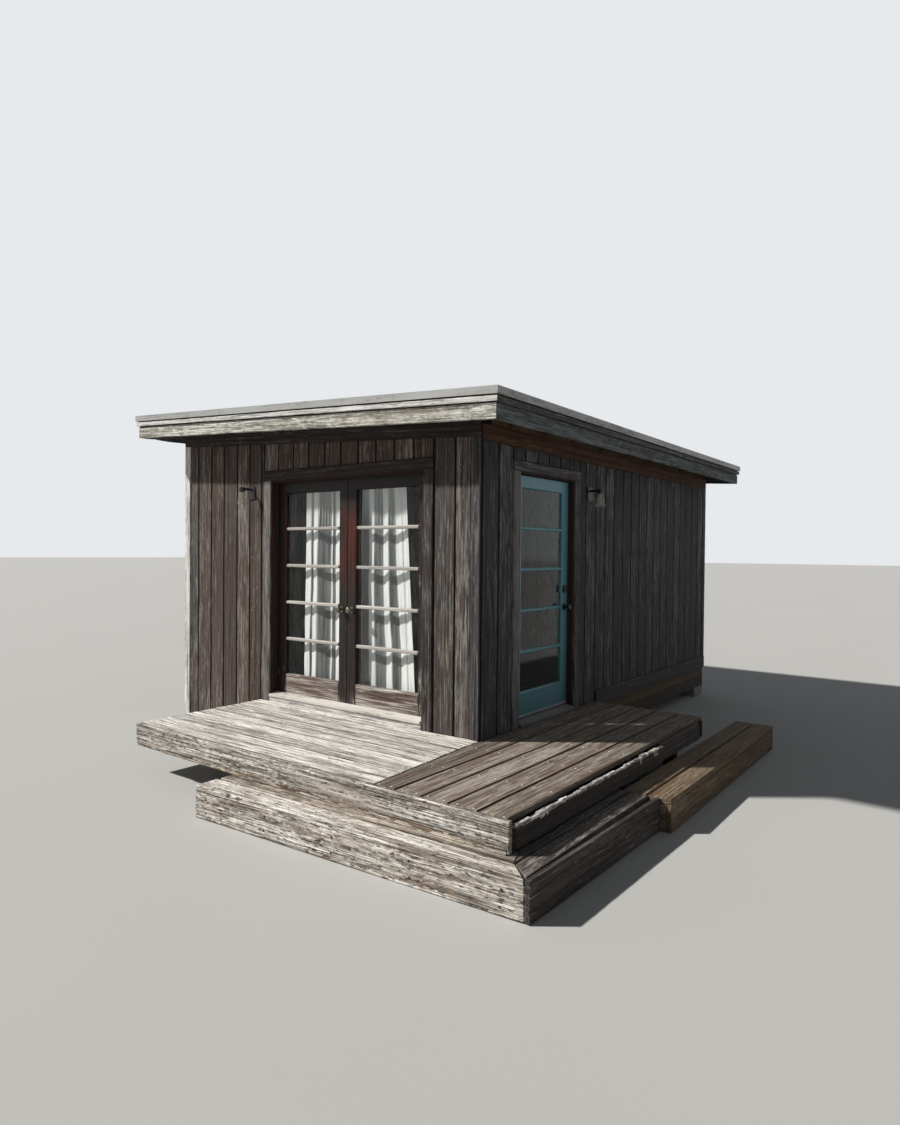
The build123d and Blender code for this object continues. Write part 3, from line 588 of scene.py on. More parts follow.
class Woodpile:
    """One piece made of many boards, each with its own run of grain and its own tone."""

    def __init__(self, name: str, seed: int) -> None:
        """Start an empty pile, with a seed for its boards' tones and grain.

        Args:
            name: The name of the piece.
            seed: Where its random draws start.
        """
        self.name = name
        self.mesh = self.empty()
        self.luck = random.Random(seed)
        self.count = 0

    def empty(self) -> bmesh.types.BMesh:
        """An empty mesh with the layers that a board carries.

        Returns:
            The mesh.
        """
        mesh = bmesh.new()
        for layer in ("timber", "edges"):
            mesh.verts.layers.float_vector.new(layer)
        mesh.verts.layers.float.new("tone")
        return mesh

    def saw(self, length: float, width: float, thick: float, wear: Wear) -> bmesh.types.BMesh:
        """Saw a board square at the origin, with its edges rounded and cuts across at even steps.

        Args:
            length: Along X.
            width: Along Y.
            thick: Along Z.
            wear: Rounding and steps.

        Returns:
            The board's mesh.
        """
        sawn = self.empty()
        bmesh.ops.create_cube(sawn, size=1.0)
        bmesh.ops.translate(sawn, verts=sawn.verts, vec=(0.5, 0.5, 0.5))
        bmesh.ops.scale(sawn, verts=sawn.verts, vec=(length, width, thick))
        bmesh.ops.bevel(sawn, geom=sawn.edges[:], offset=min(wear.edge, thick / 4), offset_type="OFFSET",
                        segments=1, profile=0.5, affect="EDGES", material=-1)
        cuts = int(length / wear.step)
        if cuts:
            runs = [edge for edge in sawn.edges if edge.calc_length() > length * 0.8]
            bmesh.ops.subdivide_edges(sawn, edges=runs, cuts=cuts, use_grid_fill=True)
        return sawn

    def board(self, face: Sequence[Vector], back: Sequence[Vector], wear: Wear = Wear(), finish: int = 0,
              bend: float = 0.0) -> None:
        """Saw one board, wear it and lay it in place.

        Args:
            face: Start and end of one long edge, then of the other, on one side.
            back: The same four points on the other side.
            wear: Rounding, wander and bites.
            finish: Which of the piece's materials it takes.
            bend: How far the first long edge is drawn in at its start, past the wall corner.
        """
        length = max((face[1] - face[0]).length, (face[3] - face[2]).length)
        width = ((face[2] - face[0]).length + (face[3] - face[1]).length) / 2
        thick = (back[0] - face[0]).length
        sawn = self.saw(length, width, thick, wear)
        grain, edges = (sawn.verts.layers.float_vector[layer] for layer in ("timber", "edges"))
        tone = sawn.verts.layers.float["tone"]
        shift = Vector([self.luck.uniform(0, 40) for _ in range(3)])
        own_tone = self.luck.random()
        for vert in sawn.verts:
            place = vert.co.copy()
            vert[grain] = place + shift
            vert[edges] = (place.y, width - place.y, 0)
            vert[tone] = own_tone
            probe = Vector((place.x, place.y * 4, place.z * 4)) + shift
            inward = wear.wander * (0.5 + 0.35 * noise.noise(probe * 2.5) + 0.3 * noise.noise(probe * 19.0))
            if wear.bite and place.y < width / 2:
                start = place.x * wear.bite_pitch
                coarse, fine = (noise.noise(Vector((spot, 0, 0)) + shift) for spot in (start, start * 4.1))
                inward += wear.bite * max(0.0, coarse + 0.45 * fine)
            place.y += inward if place.y < width / 2 else -inward
            place.z += min(inward, wear.wander) * (0.5 if place.z < thick / 2 else -0.5)
            along, across, deep = place.x / length, place.y / width, place.z / thick
            near = face[0].lerp(face[1], along).lerp(face[2].lerp(face[3], along), across)
            far = back[0].lerp(back[1], along).lerp(back[2].lerp(back[3], along), across)
            spot = near.lerp(far, deep)
            if bend:
                spot.x += bend * (1 - across) * max(0.0, -spot.y)
            vert.co = WALL_CORNER + spot
        for made in sawn.faces:
            made.material_index = finish
        bmesh.ops.recalc_face_normals(sawn, faces=sawn.faces)
        scratch = bpy.data.meshes.new("sawn")
        sawn.to_mesh(scratch)
        sawn.free()
        self.mesh.from_mesh(scratch)
        bpy.data.meshes.remove(scratch)
        self.count += 1

    def plank(self, low: Triple, high: Triple, along: int, wear: Wear = Wear(), finish: int = 0,
              bend: float = 0.0) -> None:
        """Saw a square board between two corners.

        Args:
            low: Lowest corner.
            high: Highest corner.
            along: Axis of the grain, 0 to 2.
            wear: Rounding, wander and bites.
            finish: Which of the piece's materials it takes.
            bend: Passed on to board.
        """
        low, high = Vector(low), Vector(high)
        rest = (axis for axis in range(3) if axis != along)
        across, deep = sorted(rest, key=lambda axis: low[axis] - high[axis])
        corners = []
        for far, side, end in product((low, high), repeat=3):
            spot = low.copy()
            for axis, source in ((along, end), (across, side), (deep, far)):
                spot[axis] = source[axis]
            corners.append(spot)
        self.board(corners[:4], corners[4:], wear, finish, bend)

    def flat(self, plan: Sequence[Point], top: float, thick: float, wear: Wear, finish: int = 0) -> None:
        """Lay a board flat from its corners as seen from above, two along each long edge."""
        high, low = ([Vector((*point, z)) for point in plan] for z in (top, top - thick))
        self.board(high, low, wear, finish)

    def stand(self, front: Sequence[Point], back: Sequence[Point], heights: Point, wear: Wear,
              finish: int) -> None:
        """Stand a board on edge from the ends of its front and back, the edge that wears given first."""
        face, rear = ([Vector((*end, z)) for z in heights for end in ends] for ends in (front, back))
        self.board(face, rear, wear, finish)

    def against(self, wall: "Wall", corners: Sequence[Point], thick: float, wear: Wear, finish: int) -> None:
        """Fix a board on a wall from the place and height of its corners, two along each long edge."""
        face, back = ([wall.at(place, out, height) for place, height in corners] for out in (thick, 0.0))
        self.board(face, back, wear, finish)

    def upright(self, wall: "Wall", span: Point, foot: float, heads: Sequence[float], thick: float,
                wear: Wear, finish: int) -> None:
        """Stand a board against a wall from its span along it, its foot and its head at each edge."""
        corners = [(place, height) for place, head in zip(span, heads) for height in (foot, head)]
        self.against(wall, corners, thick, wear, finish)

    def done(self, materials: Sequence[Material], slot: str, body: str = "pod",
             replaces: Iterable[str] = ()) -> None:
        """Turn the pile into a piece."""
        log.info("%s has %d boards", self.name, self.count)
        piece(self.name, self.mesh, materials, body, replaces)


def shape(name: str, mesh: bmesh.types.BMesh, materials: Sequence[Material]) -> bpy.types.Object:
    """Make an object of a mesh, which is freed.

    Args:
        name: The object's name.
        mesh: Its mesh.
        materials: Materials by index.

    Returns:
        The object.
    """
    data = bpy.data.meshes.new(name)
    mesh.to_mesh(data)
    mesh.free()
    for material in materials:
        data.materials.append(material)
    made = bpy.data.objects.new(name, data)
    bpy.context.collection.objects.link(made)
    return made


def piece(name: str, mesh: bmesh.types.BMesh, materials: Sequence[Material],
          body: str = "pod", replaces: Iterable[str] = ()) -> bpy.types.Object:
    """Make an object of a mesh and join it to the model.

    Args:
        name: The piece's name.
        mesh: Its mesh, which is freed.
        materials: Materials by index.
        body: The body it rides on.
        replaces: Nodes it stands for.

    Returns:
        The object.
    """
    made = shape(name, mesh, materials)
    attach(made, body)
    if replaces:
        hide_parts(*replaces)
    log.info("%s: %d faces", name, len(made.data.polygons))
    return made


class Nails:
    """Nail heads, gathered into one piece."""

    def __init__(self, name: str, seed: int, radius: float) -> None:
        """Start without any, with a seed for how far each strays and the radius of a head.

        Args:
            name: The name of the piece.
            seed: Where its random draws start.
            radius: The radius of a head, in metres.
        """
        self.name = name
        self.mesh = bmesh.new()
        self.luck = random.Random(seed)
        self.radius = radius

    def drive(self, spot: Vector, out: Vector) -> None:
        """Set one head at a place, facing a way.

        Args:
            spot: Where the head is.
            out: The way it faces.
        """
        stray = Vector([self.luck.uniform(-0.006, 0.006) * (1 - abs(share)) for share in out])
        turn = out.to_track_quat("Z", "Y").to_matrix().to_4x4()
        place = Matrix.Translation(WALL_CORNER + spot + stray - out * 0.0004)
        bmesh.ops.create_cone(self.mesh, cap_ends=True, segments=8, radius1=self.radius,
                              radius2=self.radius * 0.8, depth=0.0016, matrix=place @ turn)

    def done(self, material: Material) -> None:
        """Turn them into a piece."""
        piece(self.name, self.mesh, [material])


def dress(material: Material, *nodes: str) -> None:
    """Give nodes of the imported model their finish.

    Args:
        material: The finish.
        nodes: The names of the nodes.
    """
    for node in nodes:
        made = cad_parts[node]
        if not made.material_slots:
            made.data.materials.append(material)
        for place in made.material_slots:
            place.material = material
        log.info("%s finished in %s", node, material.name)


class Wall(Enum):
    """The four walls; places along them are X or Y from the near corner."""

    FRONT = (1, -1, 0.0)
    RIGHT = (0, 1, 0.0)
    BACK = (1, 1, WALL_DEPTH)
    LEFT = (0, -1, -WALL_WIDTH)

    def at(self, place: float, out: float, height: float) -> Vector:
        """A point on the wall.

        Args:
            place: X or Y along the wall.
            out: Distance from its face.
            height: Height over the deck.

        Returns:
            The point from the near corner.
        """
        axis, way, face = self.value
        spot = Vector((place, place, height))
        spot[axis] = face + way * out
        return spot

    def rake(self, place: float, below: float) -> float:
        """Height of a line along the wall, a given depth below the roof; level on the side walls."""
        return roof_height(place if self.raked else self.value[2], below)

    @property
    def raked(self) -> bool:
        """Whether the roof falls along the wall."""
        return self.value[0] == 1


@dataclass
class Siding:
    """Upright weathered boards over the walls."""

    thick: float = 0.009
    gap: float = 0.011
    pitch: float = 0.21
    above_deck: float = 0.002
    above_skirt: float = 0.1035
    above_door: float = 2.197
    below_rake: float = 0.296
    below_level: float = FRIEZE_DROP + FRIEZE_HIGH + ROOF_FALL * TRIM_THICK + 0.002
    dark: Timber = Timber(
        "siding_dark", srgb(92, 81, 75), srgb(142, 134, 128), srgb(54, 43, 40), bleach=0.36,
        blotch=srgb(86, 62, 54), blotch_share=0.5, flecks=0.9, spread=0.22, knots=0.7, band=78.0, hair=0.8,
        grit=2.4, seam=0.75,
    )
    silver: Timber = Timber(
        "siding_silver", srgb(80, 75, 72), srgb(132, 127, 122), srgb(52, 46, 44), bleach=0.36,
        blotch=srgb(84, 68, 61), flecks=0.6, knots=0.8, band=78.0, hair=0.8, grit=2.4, seam=0.75,
    )
    # Darker grey for the right and back walls, which face away from the key light: partly weathered grey,
    # partly painted shade.
    shade: Timber = Timber(
        "siding_grey_painted_shade", srgb(70, 69, 71), srgb(120, 119, 123), srgb(40, 38, 40), bleach=0.34,
        blotch=srgb(50, 47, 47), spread=0.14, knots=0.8, band=70.0, hair=1.0, grit=2.6, seam=0.8,
    )
    # Near-black wall behind the siding: painted shade in the gaps between boards and in the room seen through
    # the glass.
    painted_joint_shade: Timber = Timber(
        "wall_painted_shade", srgb(24, 20, 19), srgb(38, 33, 31), srgb(14, 12, 12), grain=Grain.Z, bleach=0.3,
    )
    nail: Coated = Coated(
        "siding_nail", srgb(70, 66, 64), srgb(120, 116, 112), wear=0.35, rough=0.6, metal=0.3, grit=200.0,
    )
    lining: Timber = Timber(
        "lining_brown", srgb(140, 120, 104), srgb(186, 172, 158), srgb(56, 45, 39), bleach=0.4, spread=0.8,
        relief=0.0005, seam=0.9,
    )
    front: Sequence[float] = (-3.721, -3.579, -3.361, -3.150, -2.937, -2.740, -2.562, -2.5265)
    front_right: Sequence[float] = (-0.447, -0.241, -0.089)
    side_near: Sequence[float] = (0.0003, 0.228, 0.438)
    side_far: Sequence[float] = (1.612, 1.735, 1.950, 2.160, 2.370, 2.590, 2.800, 3.010, 3.215, 3.430, 3.640,
                                 3.850, 4.060, 4.270, 4.480, 4.690, 4.900, 5.111)

    def run(self, pile: Woodpile, nails: Nails, wall: Wall, joints: Sequence[float], foot: float,
            finish: int) -> None:
        """Stand boards between joints.

        Args:
            pile: Where they go.
            nails: Where their nails go.
            wall: Which wall.
            joints: Places of the joints.
            foot: Height of their feet.
            finish: Which material.
        """
        out = wall.at(0, 1, 0) - wall.at(0, 0, 0)
        below = self.below_rake if wall.raked else self.below_level
        for start, end in zip(joints, joints[1:]):
            span = (start + self.gap / 2, end - self.gap / 2)
            heads = [wall.rake(place, below) for place in span]
            pile.upright(wall, span, foot, heads, self.thick, Wear(step=0.3, edge=0.002), finish)
            if span[1] - span[0] <= 0.08:
                continue
            rows = max(2, round((heads[0] - foot) / 0.61) + 1)
            for row, place in product(range(rows), (span[0] + 0.03, span[1] - 0.03)):
                height = foot + 0.05 + (min(heads) - foot - 0.1) * row / (rows - 1)
                nails.drive(wall.at(place, self.thick, height), out)

    def even(self, start: float, end: float) -> list[float]:
        """Joints at an even pitch between two places."""
        return spaced(start, end, max(1, round((end - start) / self.pitch)) + 1)

    def line_room(self) -> None:
        """Line the two inner walls that show through the glass."""
        pile = Woodpile("room_lining", 15)
        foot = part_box("floor_boards")[1][2] - WALL_CORNER.z + 0.002
        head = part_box("roof_frame")[0][2] - WALL_CORNER.z - 0.004
        side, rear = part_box("left_wall")[1][0] - WALL_CORNER.x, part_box("back_wall")[0][1] - WALL_CORNER.y
        wear = Wear(step=0.6, edge=0.002, wander=0.0004)
        near, far, width = HAIR, HAIR + self.thick, 0.094
        y = 0.16
        while y < rear - 0.12:
            pile.plank((side + near, y, foot), (side + far, y + width, head), 2, wear)
            y += 0.1
        x = side + 0.012
        while x < -0.24:
            pile.plank((x, rear - far, foot), (x + width, rear - near, head), 2, wear)
            x += 0.1
        pile.done([self.lining.material()], "siding")

    def build(self) -> None:
        """Board the four walls and finish what is behind the boards in near-black painted shade."""
        dark, silver, shade = make_materials(self.dark, self.silver, self.shade)
        deck, skirt, door = self.above_deck, self.above_skirt, self.above_door
        nails = Nails("siding_nails", 14, 0.0042)
        for name, seed, finishes, runs in (
            ("front_siding", 11, (dark, silver), (
                (Wall.FRONT, self.front[:2], FRONT_FOOT, 1),
                (Wall.FRONT, self.front[1:-1], FRONT_FOOT, 0),
                (Wall.FRONT, self.front[-2:], deck, 0),
                (Wall.FRONT, self.even(*FRONT_DOORWAY), door, 0),
                (Wall.FRONT, self.front_right, deck, 1),
            )),
            ("right_siding", 12, (shade,), (
                (Wall.RIGHT, self.side_near, deck, 0),
                (Wall.RIGHT, self.even(self.side_near[-1], self.side_far[0]), door, 0),
                (Wall.RIGHT, self.side_far[:3], deck, 0),
                (Wall.RIGHT, self.side_far[2:], skirt, 0),
            )),
            ("rear_siding", 13, (shade, dark), (
                (Wall.BACK, self.even(CORNER_WIDTH - WALL_WIDTH, -CORNER_WIDTH), skirt, 0),
                (Wall.LEFT, self.even(0.0, WALL_DEPTH - CORNER_WIDTH), skirt, 1),
            )),
        ):
            pile = Woodpile(name, seed)
            for wall, joints, foot, finish in runs:
                self.run(pile, nails, wall, joints, foot, finish)
            pile.done(finishes, "siding")
        nails.done(self.nail.material())
        self.line_room()
        dress(self.painted_joint_shade.material(), "front_wall_left", "front_wall_right", "front_wall_header",
              "side_wall_front", "side_wall_rear", "side_wall_header", "left_wall", "back_wall")


@dataclass
class WallTrim:
    """Friezes, corner boards, skirts and the boards round the doorways."""

    silver: Timber = Timber(
        "trim_silver", srgb(178, 176, 174), srgb(222, 221, 219), srgb(104, 99, 95), bleach=0.58,
        blotch=srgb(120, 108, 100), blotch_share=0.2, hair=1.4, grit=2.6,
    )
    brown: Timber = Timber("trim_brown", srgb(84, 57, 42), srgb(114, 90, 74), srgb(60, 40, 31), bleach=0.25)
    dark: Timber = Timber("trim_dark", srgb(58, 51, 49), srgb(98, 92, 89), srgb(40, 34, 33), bleach=0.25)
    grey: Timber = Timber(
        "trim_grey", srgb(76, 74, 74), srgb(122, 120, 120), srgb(48, 45, 45), bleach=0.38, hair=0.8, grit=2.2,
    )
    door: Timber = Timber(
        "casing_brown", srgb(64, 59, 58), srgb(118, 115, 114), srgb(38, 33, 32), bleach=0.4,
        blotch=srgb(76, 60, 53), blotch_share=0.3, hair=1.0, grit=2.2,
    )
    wear: Wear = Wear(step=0.12, edge=0.0025, wander=0.0018)
    skirt_wear: Wear = Wear(step=0.08, edge=0.003, wander=0.003, bite=0.008)
    skirt_low: float = -0.050
    skirt_top: float = 0.100
    skirt_thick: float = 0.025
    frieze_low: float = 0.294
    frieze_top: float = 0.054
    side_doorway: Point = (0.439, 1.611)
    head_low: float = 2.104
    head_top: float = 2.194
    casing: float = 0.102

    def friezes(self, mats: Sequence[Material]) -> None:
        """Lay the friezes and stand the corner boards.

        Args:
            mats: The finishes of the boards.
        """
        pile = Woodpile("friezes_and_corners", 21)
        sides = ((Wall.RIGHT, TRIM_THICK), (Wall.LEFT, -WALL_WIDTH))
        tops = {wall: roof_height(x, FRIEZE_DROP) for wall, x in sides}
        for wall in (Wall.FRONT, Wall.BACK):
            belows = (self.frieze_low, self.frieze_top)
            corners = [(x, roof_height(x, below)) for below in belows for x in (-WALL_WIDTH, 0.0)]
            pile.against(wall, corners, TRIM_THICK, self.wear, 2)
        for (wall, top), finish in zip(tops.items(), (1, 2)):
            corners = [(y, z) for z in (top - FRIEZE_HIGH, top) for y in (HAIR, WALL_DEPTH - HAIR)]
            pile.against(wall, corners, TRIM_THICK, self.wear, finish)
        left, right = (-WALL_WIDTH, CORNER_WIDTH - WALL_WIDTH), (-CORNER_WIDTH, 0.0)
        foot = self.skirt_top + HAIR
        for wall, span, low, finish in (
            (Wall.FRONT, left, FRONT_FOOT, 0), (Wall.FRONT, right, HAIR, 3),
            (Wall.BACK, right, foot, 3), (Wall.BACK, left, foot, 3),
        ):
            heads = [wall.rake(x, self.frieze_low + HAIR) for x in span]
            pile.upright(wall, span, low, heads, TRIM_THICK, self.wear, finish)
        back = (WALL_DEPTH - CORNER_WIDTH, WALL_DEPTH - HAIR)
        for wall, top in tops.items():
            pile.upright(wall, back, foot, [top - FRIEZE_HIGH - HAIR] * 2, TRIM_THICK, self.wear, 3)
        pile.done(mats, "trim_wood", replaces=["frieze_and_corner_boards"])

    def casings(self, mats: Sequence[Material]) -> None:
        """Frame both doorways.

        Args:
            mats: The finishes of the boards.
        """
        pile = Woodpile("doorway_casings", 22)
        for wall, doorway, finish, head in (
            (Wall.FRONT, FRONT_DOORWAY, 4, 2), (Wall.RIGHT, self.side_doorway, 3, 3),
        ):
            start, end = doorway
            for span in ((start, start + self.casing), (end - self.casing, end)):
                pile.upright(wall, span, HAIR, [self.head_low - HAIR] * 2, TRIM_THICK, self.wear, finish)
            corners = [(place, z) for z in (self.head_low, self.head_top) for place in doorway]
            pile.against(wall, corners, TRIM_THICK, self.wear, head)
        pile.plank((-2.423, -TRIM_THICK, HAIR), (-0.561, 0.0, 0.051), 0, self.wear)
        pile.done(mats, "trim_wood", replaces=["door_casings"])

    def skirts(self, mats: Sequence[Material]) -> None:
        """Close the foot of the walls.

        Args:
            mats: The finishes of the boards.
        """
        pile = Woodpile("base_boards", 23)
        thick = self.skirt_thick
        for left, near, right, far, along in (
            (0.0, 1.975, thick, WALL_DEPTH, 1),
            (-WALL_WIDTH, WALL_DEPTH + HAIR, 0.0, WALL_DEPTH + thick, 0),
            (-WALL_WIDTH - thick, 0.0, -WALL_WIDTH, WALL_DEPTH, 1),
        ):
            low, high = (left, near, self.skirt_low), (right, far, self.skirt_top)
            pile.plank(low, high, along, self.skirt_wear, 3)
        pile.plank((HAIR - WALL_WIDTH, 0.0, FRONT_FOOT), (-2.560, TRIM_THICK, -0.008), 0, self.wear, 2)
        pile.done(mats, "trim_wood", replaces=["base_cladding"])

    def build(self) -> None:
        """Make every board of the trim."""
        mats = make_materials(self.silver, self.brown, self.dark, self.grey, self.door)
        self.friezes(mats)
        self.casings(mats)
        self.skirts(mats)


@dataclass
class RoofEdge:
    """The stepped boards, metal edge and felt of the roof."""

    left: float = -4.180
    right: float = 0.380
    front: float = -0.370
    back: float = 5.460
    laps_at: Sequence[tuple[Wall, float, float]] = (
        (Wall.FRONT, -3.30, 0.10), (Wall.FRONT, -2.74, 0.016), (Wall.FRONT, -0.62, 0.10),
        (Wall.RIGHT, 1.55, 0.10), (Wall.RIGHT, 3.62, 0.10),
    )
    pale: Timber = Timber(
        "fascia_pale", srgb(161, 158, 149), srgb(224, 222, 214), srgb(102, 97, 88),
        blotch=srgb(128, 122, 108), blotch_share=0.35, relief=0.002, check=3.0, blob=12.0, pits=0.9, hair=1.0,
        grit=2.4,
    )
    # Darker grey for the sides and back of the fascia, which face away from the key light: painted shade.
    grey: Timber = Timber(
        "fascia_grey_painted_shade", srgb(78, 83, 85), srgb(116, 120, 122), srgb(54, 58, 59), bleach=0.42,
        blotch=srgb(62, 65, 64), blotch_share=0.35, relief=0.002, check=2.0, blob=8.0,
    )
    bright: Timber = Timber(
        "edge_pale", srgb(176, 175, 172), srgb(212, 211, 209), srgb(140, 138, 134), bleach=0.6, relief=0.001,
        check=3.0, pits=0.7, hair=1.2, grit=2.4,
    )
    # Dark board behind the gap under the trim: painted shadow for the line between trim and fascia.
    painted_groove_shadow: Timber = Timber("groove_painted_shadow", srgb(60, 57, 52), srgb(92, 88, 82), srgb(38, 35, 32), bleach=0.3)
    metal: Coated = Coated(
        "flashing_metal", srgb(172, 173, 172), srgb(122, 121, 118), wear=0.42, grit=14.0, relief=0.0008,
        stretch=(1, 1, 5),
    )
    felt: Coated = Coated(
        "roof_felt", srgb(66, 64, 62), srgb(104, 100, 96), wear=0.3, rough=0.9, grit=160.0, relief=0.0012,
    )

    def corners(self, setback: float) -> list[Point]:
        """Plan corners of the roof, drawn in by a setback.

        Args:
            setback: How far inside the roof's edge they lie.

        Returns:
            The four corners, in order.
        """
        left, right = self.left + setback, self.right - setback
        front, back = self.front + setback, self.back - setback
        return [(left, front), (right, front), (right, back), (left, back)]

    def course(self, pile: Woodpile, setback: float, thick: float, high: float, low: float, wear: Wear,
               finishes: Sequence[int] = (0, 1, 1, 1)) -> None:
        """Lay one mitred board along each side.

        Args:
            pile: Where they go.
            setback: Distance in from the roof's edge.
            thick: Thickness.
            high: Depth of the upper edge below the roof.
            low: Depth of the lower edge below the roof.
            wear: Rounding, wander and bites.
            finishes: Which material on each side.
        """
        outer, inner = self.corners(setback), self.corners(setback + thick)
        for side in range(4):
            face, back = (
                [Vector((*end, roof_height(end[0], below))) for below in (low, high) for end in ends]
                for ends in ((ring[side], ring[(side + 1) % 4]) for ring in (outer, inner))
            )
            pile.board(face, back, wear, finishes[side])

    def laps(self, material: Material) -> None:
        """Lap the metal edge over itself at its joints.

        Args:
            material: The metal's finish.
        """
        strips = bmesh.new()
        for wall, place, width in self.laps_at:
            for vert in bmesh.ops.create_cube(strips, size=1.0)["verts"]:
                along = place + vert.co.x * width
                out = 0.0012 * (vert.co.y + 0.5)
                below = 0.002 if vert.co.z > 0 else 0.0555
                if wall is Wall.FRONT:
                    spot = (along, self.front - out, roof_height(along, below))
                else:
                    spot = (self.right + out, along, roof_height(self.right, below))
                vert.co = WALL_CORNER + Vector(spot)
        bmesh.ops.recalc_face_normals(strips, faces=strips.faces)
        piece("edge_laps", strips, [material])

    def build(self) -> None:
        """Lay the boards and finish the rest of the roof."""
        mats = make_materials(self.pale, self.grey, self.bright, self.painted_groove_shadow)
        fascia = Woodpile("fascia", 31)
        ragged = Wear(step=0.03, edge=0.003, wander=0.002, bite=0.009)
        self.course(fascia, 0.027, 0.038, 0.114, 0.228, ragged)
        # The board in the gap under the trim takes the painted shadow finish.
        self.course(fascia, 0.035, 0.030, 0.054, 0.114, Wear(step=0.3), (3, 3, 3, 3))
        fascia.done(mats, "trim_wood", replaces=["fascia_boards"])
        trim = Woodpile("edge_trim", 32)
        chipped = Wear(step=0.06, edge=0.002, wander=0.0015, bite=0.003)
        self.course(trim, 0.008, TRIM_THICK, 0.066, 0.106, chipped, (2, 1, 1, 1))
        trim.done(mats, "trim_wood", replaces=["roof_trim"])
        metal = self.metal.material()
        dress(metal, "drip_edge")
        self.laps(metal)
        dress(self.felt.material(), "roof_membrane")


@dataclass
class Deck:
    """Deck boards, their nails and the boards round their edge."""

    left: float = -2.560
    front: float = -1.257
    skew: float = 0.075
    front_count: int = 9
    side_start: float = 0.238
    side_width: float = 0.1905
    side_gap: float = 0.013
    side_end: float = 1.960
    side_count: int = 4
    nail_pitch: float = 0.5044
    row_pitch: float = 0.5298
    rim_front: float = -1.295
    rim_end: float = 0.8897
    rough: Wear = Wear(step=0.04, edge=0.005, wander=0.004, bite=0.005)
    bleached: Timber = Timber(
        "deck_bleached", srgb(212, 205, 196), srgb(246, 243, 238), srgb(116, 106, 97), bleach=0.64,
        blotch=srgb(150, 136, 120), blotch_share=0.25, spread=0.16, check=4.0, pits=0.8, hair=1.5, grit=3.0,
        seam=0.6,
    )
    brown: Timber = Timber(
        "deck_brown", srgb(124, 113, 103), srgb(160, 151, 141), srgb(80, 68, 59), bleach=0.36,
        blotch=srgb(98, 80, 66), flecks=1.2, spread=0.26, knots=0.8, check=1.4, band=60.0, hair=0.9, pits=0.5,
        seam=0.45,
    )
    rim: Timber = Timber(
        "deck_rim_grey", srgb(208, 201, 191), srgb(244, 240, 234), srgb(104, 94, 84), bleach=0.62,
        blotch=srgb(112, 97, 84), blotch_share=0.45, relief=0.003, check=4.0, knots=0.9, blob=20.0, pits=1.6,
        hair=0.8, grit=2.6,
    )
    rim_dark: Timber = Timber(
        "deck_rim_dark", srgb(68, 62, 58), srgb(116, 109, 103), srgb(38, 33, 31), bleach=0.33, relief=0.003,
        check=2.4, blob=11.0, pits=0.8,
    )
    splinter: Timber = Timber(
        "splintered_edge", srgb(198, 194, 188), srgb(232, 230, 226), srgb(104, 97, 90), bleach=0.62,
        check=4.0, pits=1.4, hair=1.4, grit=3.0, blob=14.0,
    )
    split: Timber = Timber(
        "split_edge", srgb(160, 144, 126), srgb(212, 203, 190), srgb(82, 67, 55), check=4.0, pits=1.2,
        hair=1.4, grit=2.6, blob=12.0,
    )
    nail: Coated = Coated(
        "nail_zinc", srgb(232, 230, 226), srgb(176, 170, 162), wear=0.25, rough=0.6, grit=300.0,
    )

    @property
    def pitch(self) -> float:
        """From one front board to the next."""
        return -self.front / self.front_count

    def side_board(self, index: int) -> float:
        """Where a board at the side starts."""
        return self.side_start + self.side_gap + index * (self.side_width + self.side_gap)

    def boards(self) -> None:
        """Lay both runs of boards."""
        pile = Woodpile("deck_planks", 41)
        wear = Wear(step=0.12, edge=0.004, wander=0.0025)
        for index in range(self.front_count):
            near = self.front + index * self.pitch + (0.003 if index else 0.0)
            far = self.front + (index + 1) * self.pitch - 0.004
            start = self.left + pile.luck.uniform(0.0, 0.008)
            trim = pile.luck.uniform(0.0, 0.010)
            ends = [self.skew * y / self.front - trim for y in (near, far)]
            plan = [(start, near), (ends[0], near), (start, far), (ends[1], far)]
            pile.flat(plan, 0.0, PLANK_THICK, wear)
        pile.plank((0.008, self.front, -PLANK_THICK), (self.side_start, self.side_end, 0), 1, wear, 1,
                   bend=-self.skew / self.front)
        for index in range(self.side_count):
            start = self.side_board(index)
            end = self.side_end - pile.luck.uniform(0.0, 0.02)
            pile.plank((start, self.front, -PLANK_THICK), (start + self.side_width, end, 0), 1, wear, 1)
        pile.done(make_materials(self.bleached, self.brown), "deck_wood", replaces=["deck_boards"])

    def splinters(self, pile: Woodpile) -> None:
        """Split the top edge of the right-hand rim and the foot of the front rim.

        Args:
            pile: The pile that takes the splinters.
        """
        uniform = pile.luck.uniform
        wear = Wear(step=0.015, edge=0.001, wander=0.003, bite=0.006, bite_pitch=22.0)
        y = self.front
        while y < 0.87:
            stop = min(self.rim_end, y + uniform(0.02, 0.11))
            top = -0.022 - uniform(0.0, 0.010)
            low = top - 0.016 - 0.040 * pile.luck.random() ** 2
            inner, outer = 1.074 + uniform(0.0, 0.014), 1.111 - uniform(0.0, 0.006)
            pile.plank((inner, y, low), (outer, stop, top), 1, wear, 2)
            y = stop + uniform(0.0, 0.006)
        wear = Wear(step=0.02, edge=0.0006, wander=0.002, bite=0.045, bite_pitch=7.0)
        for low, high, depth in ((-0.1838, -0.150, 0.0), (-0.1836, -0.164, 0.0015)):
            front, back = ([(x, y) for x in (-2.2, 1.07)] for y in (-1.2985 - depth, -1.2942))
            pile.stand(front, back, (high, low), wear, 3)

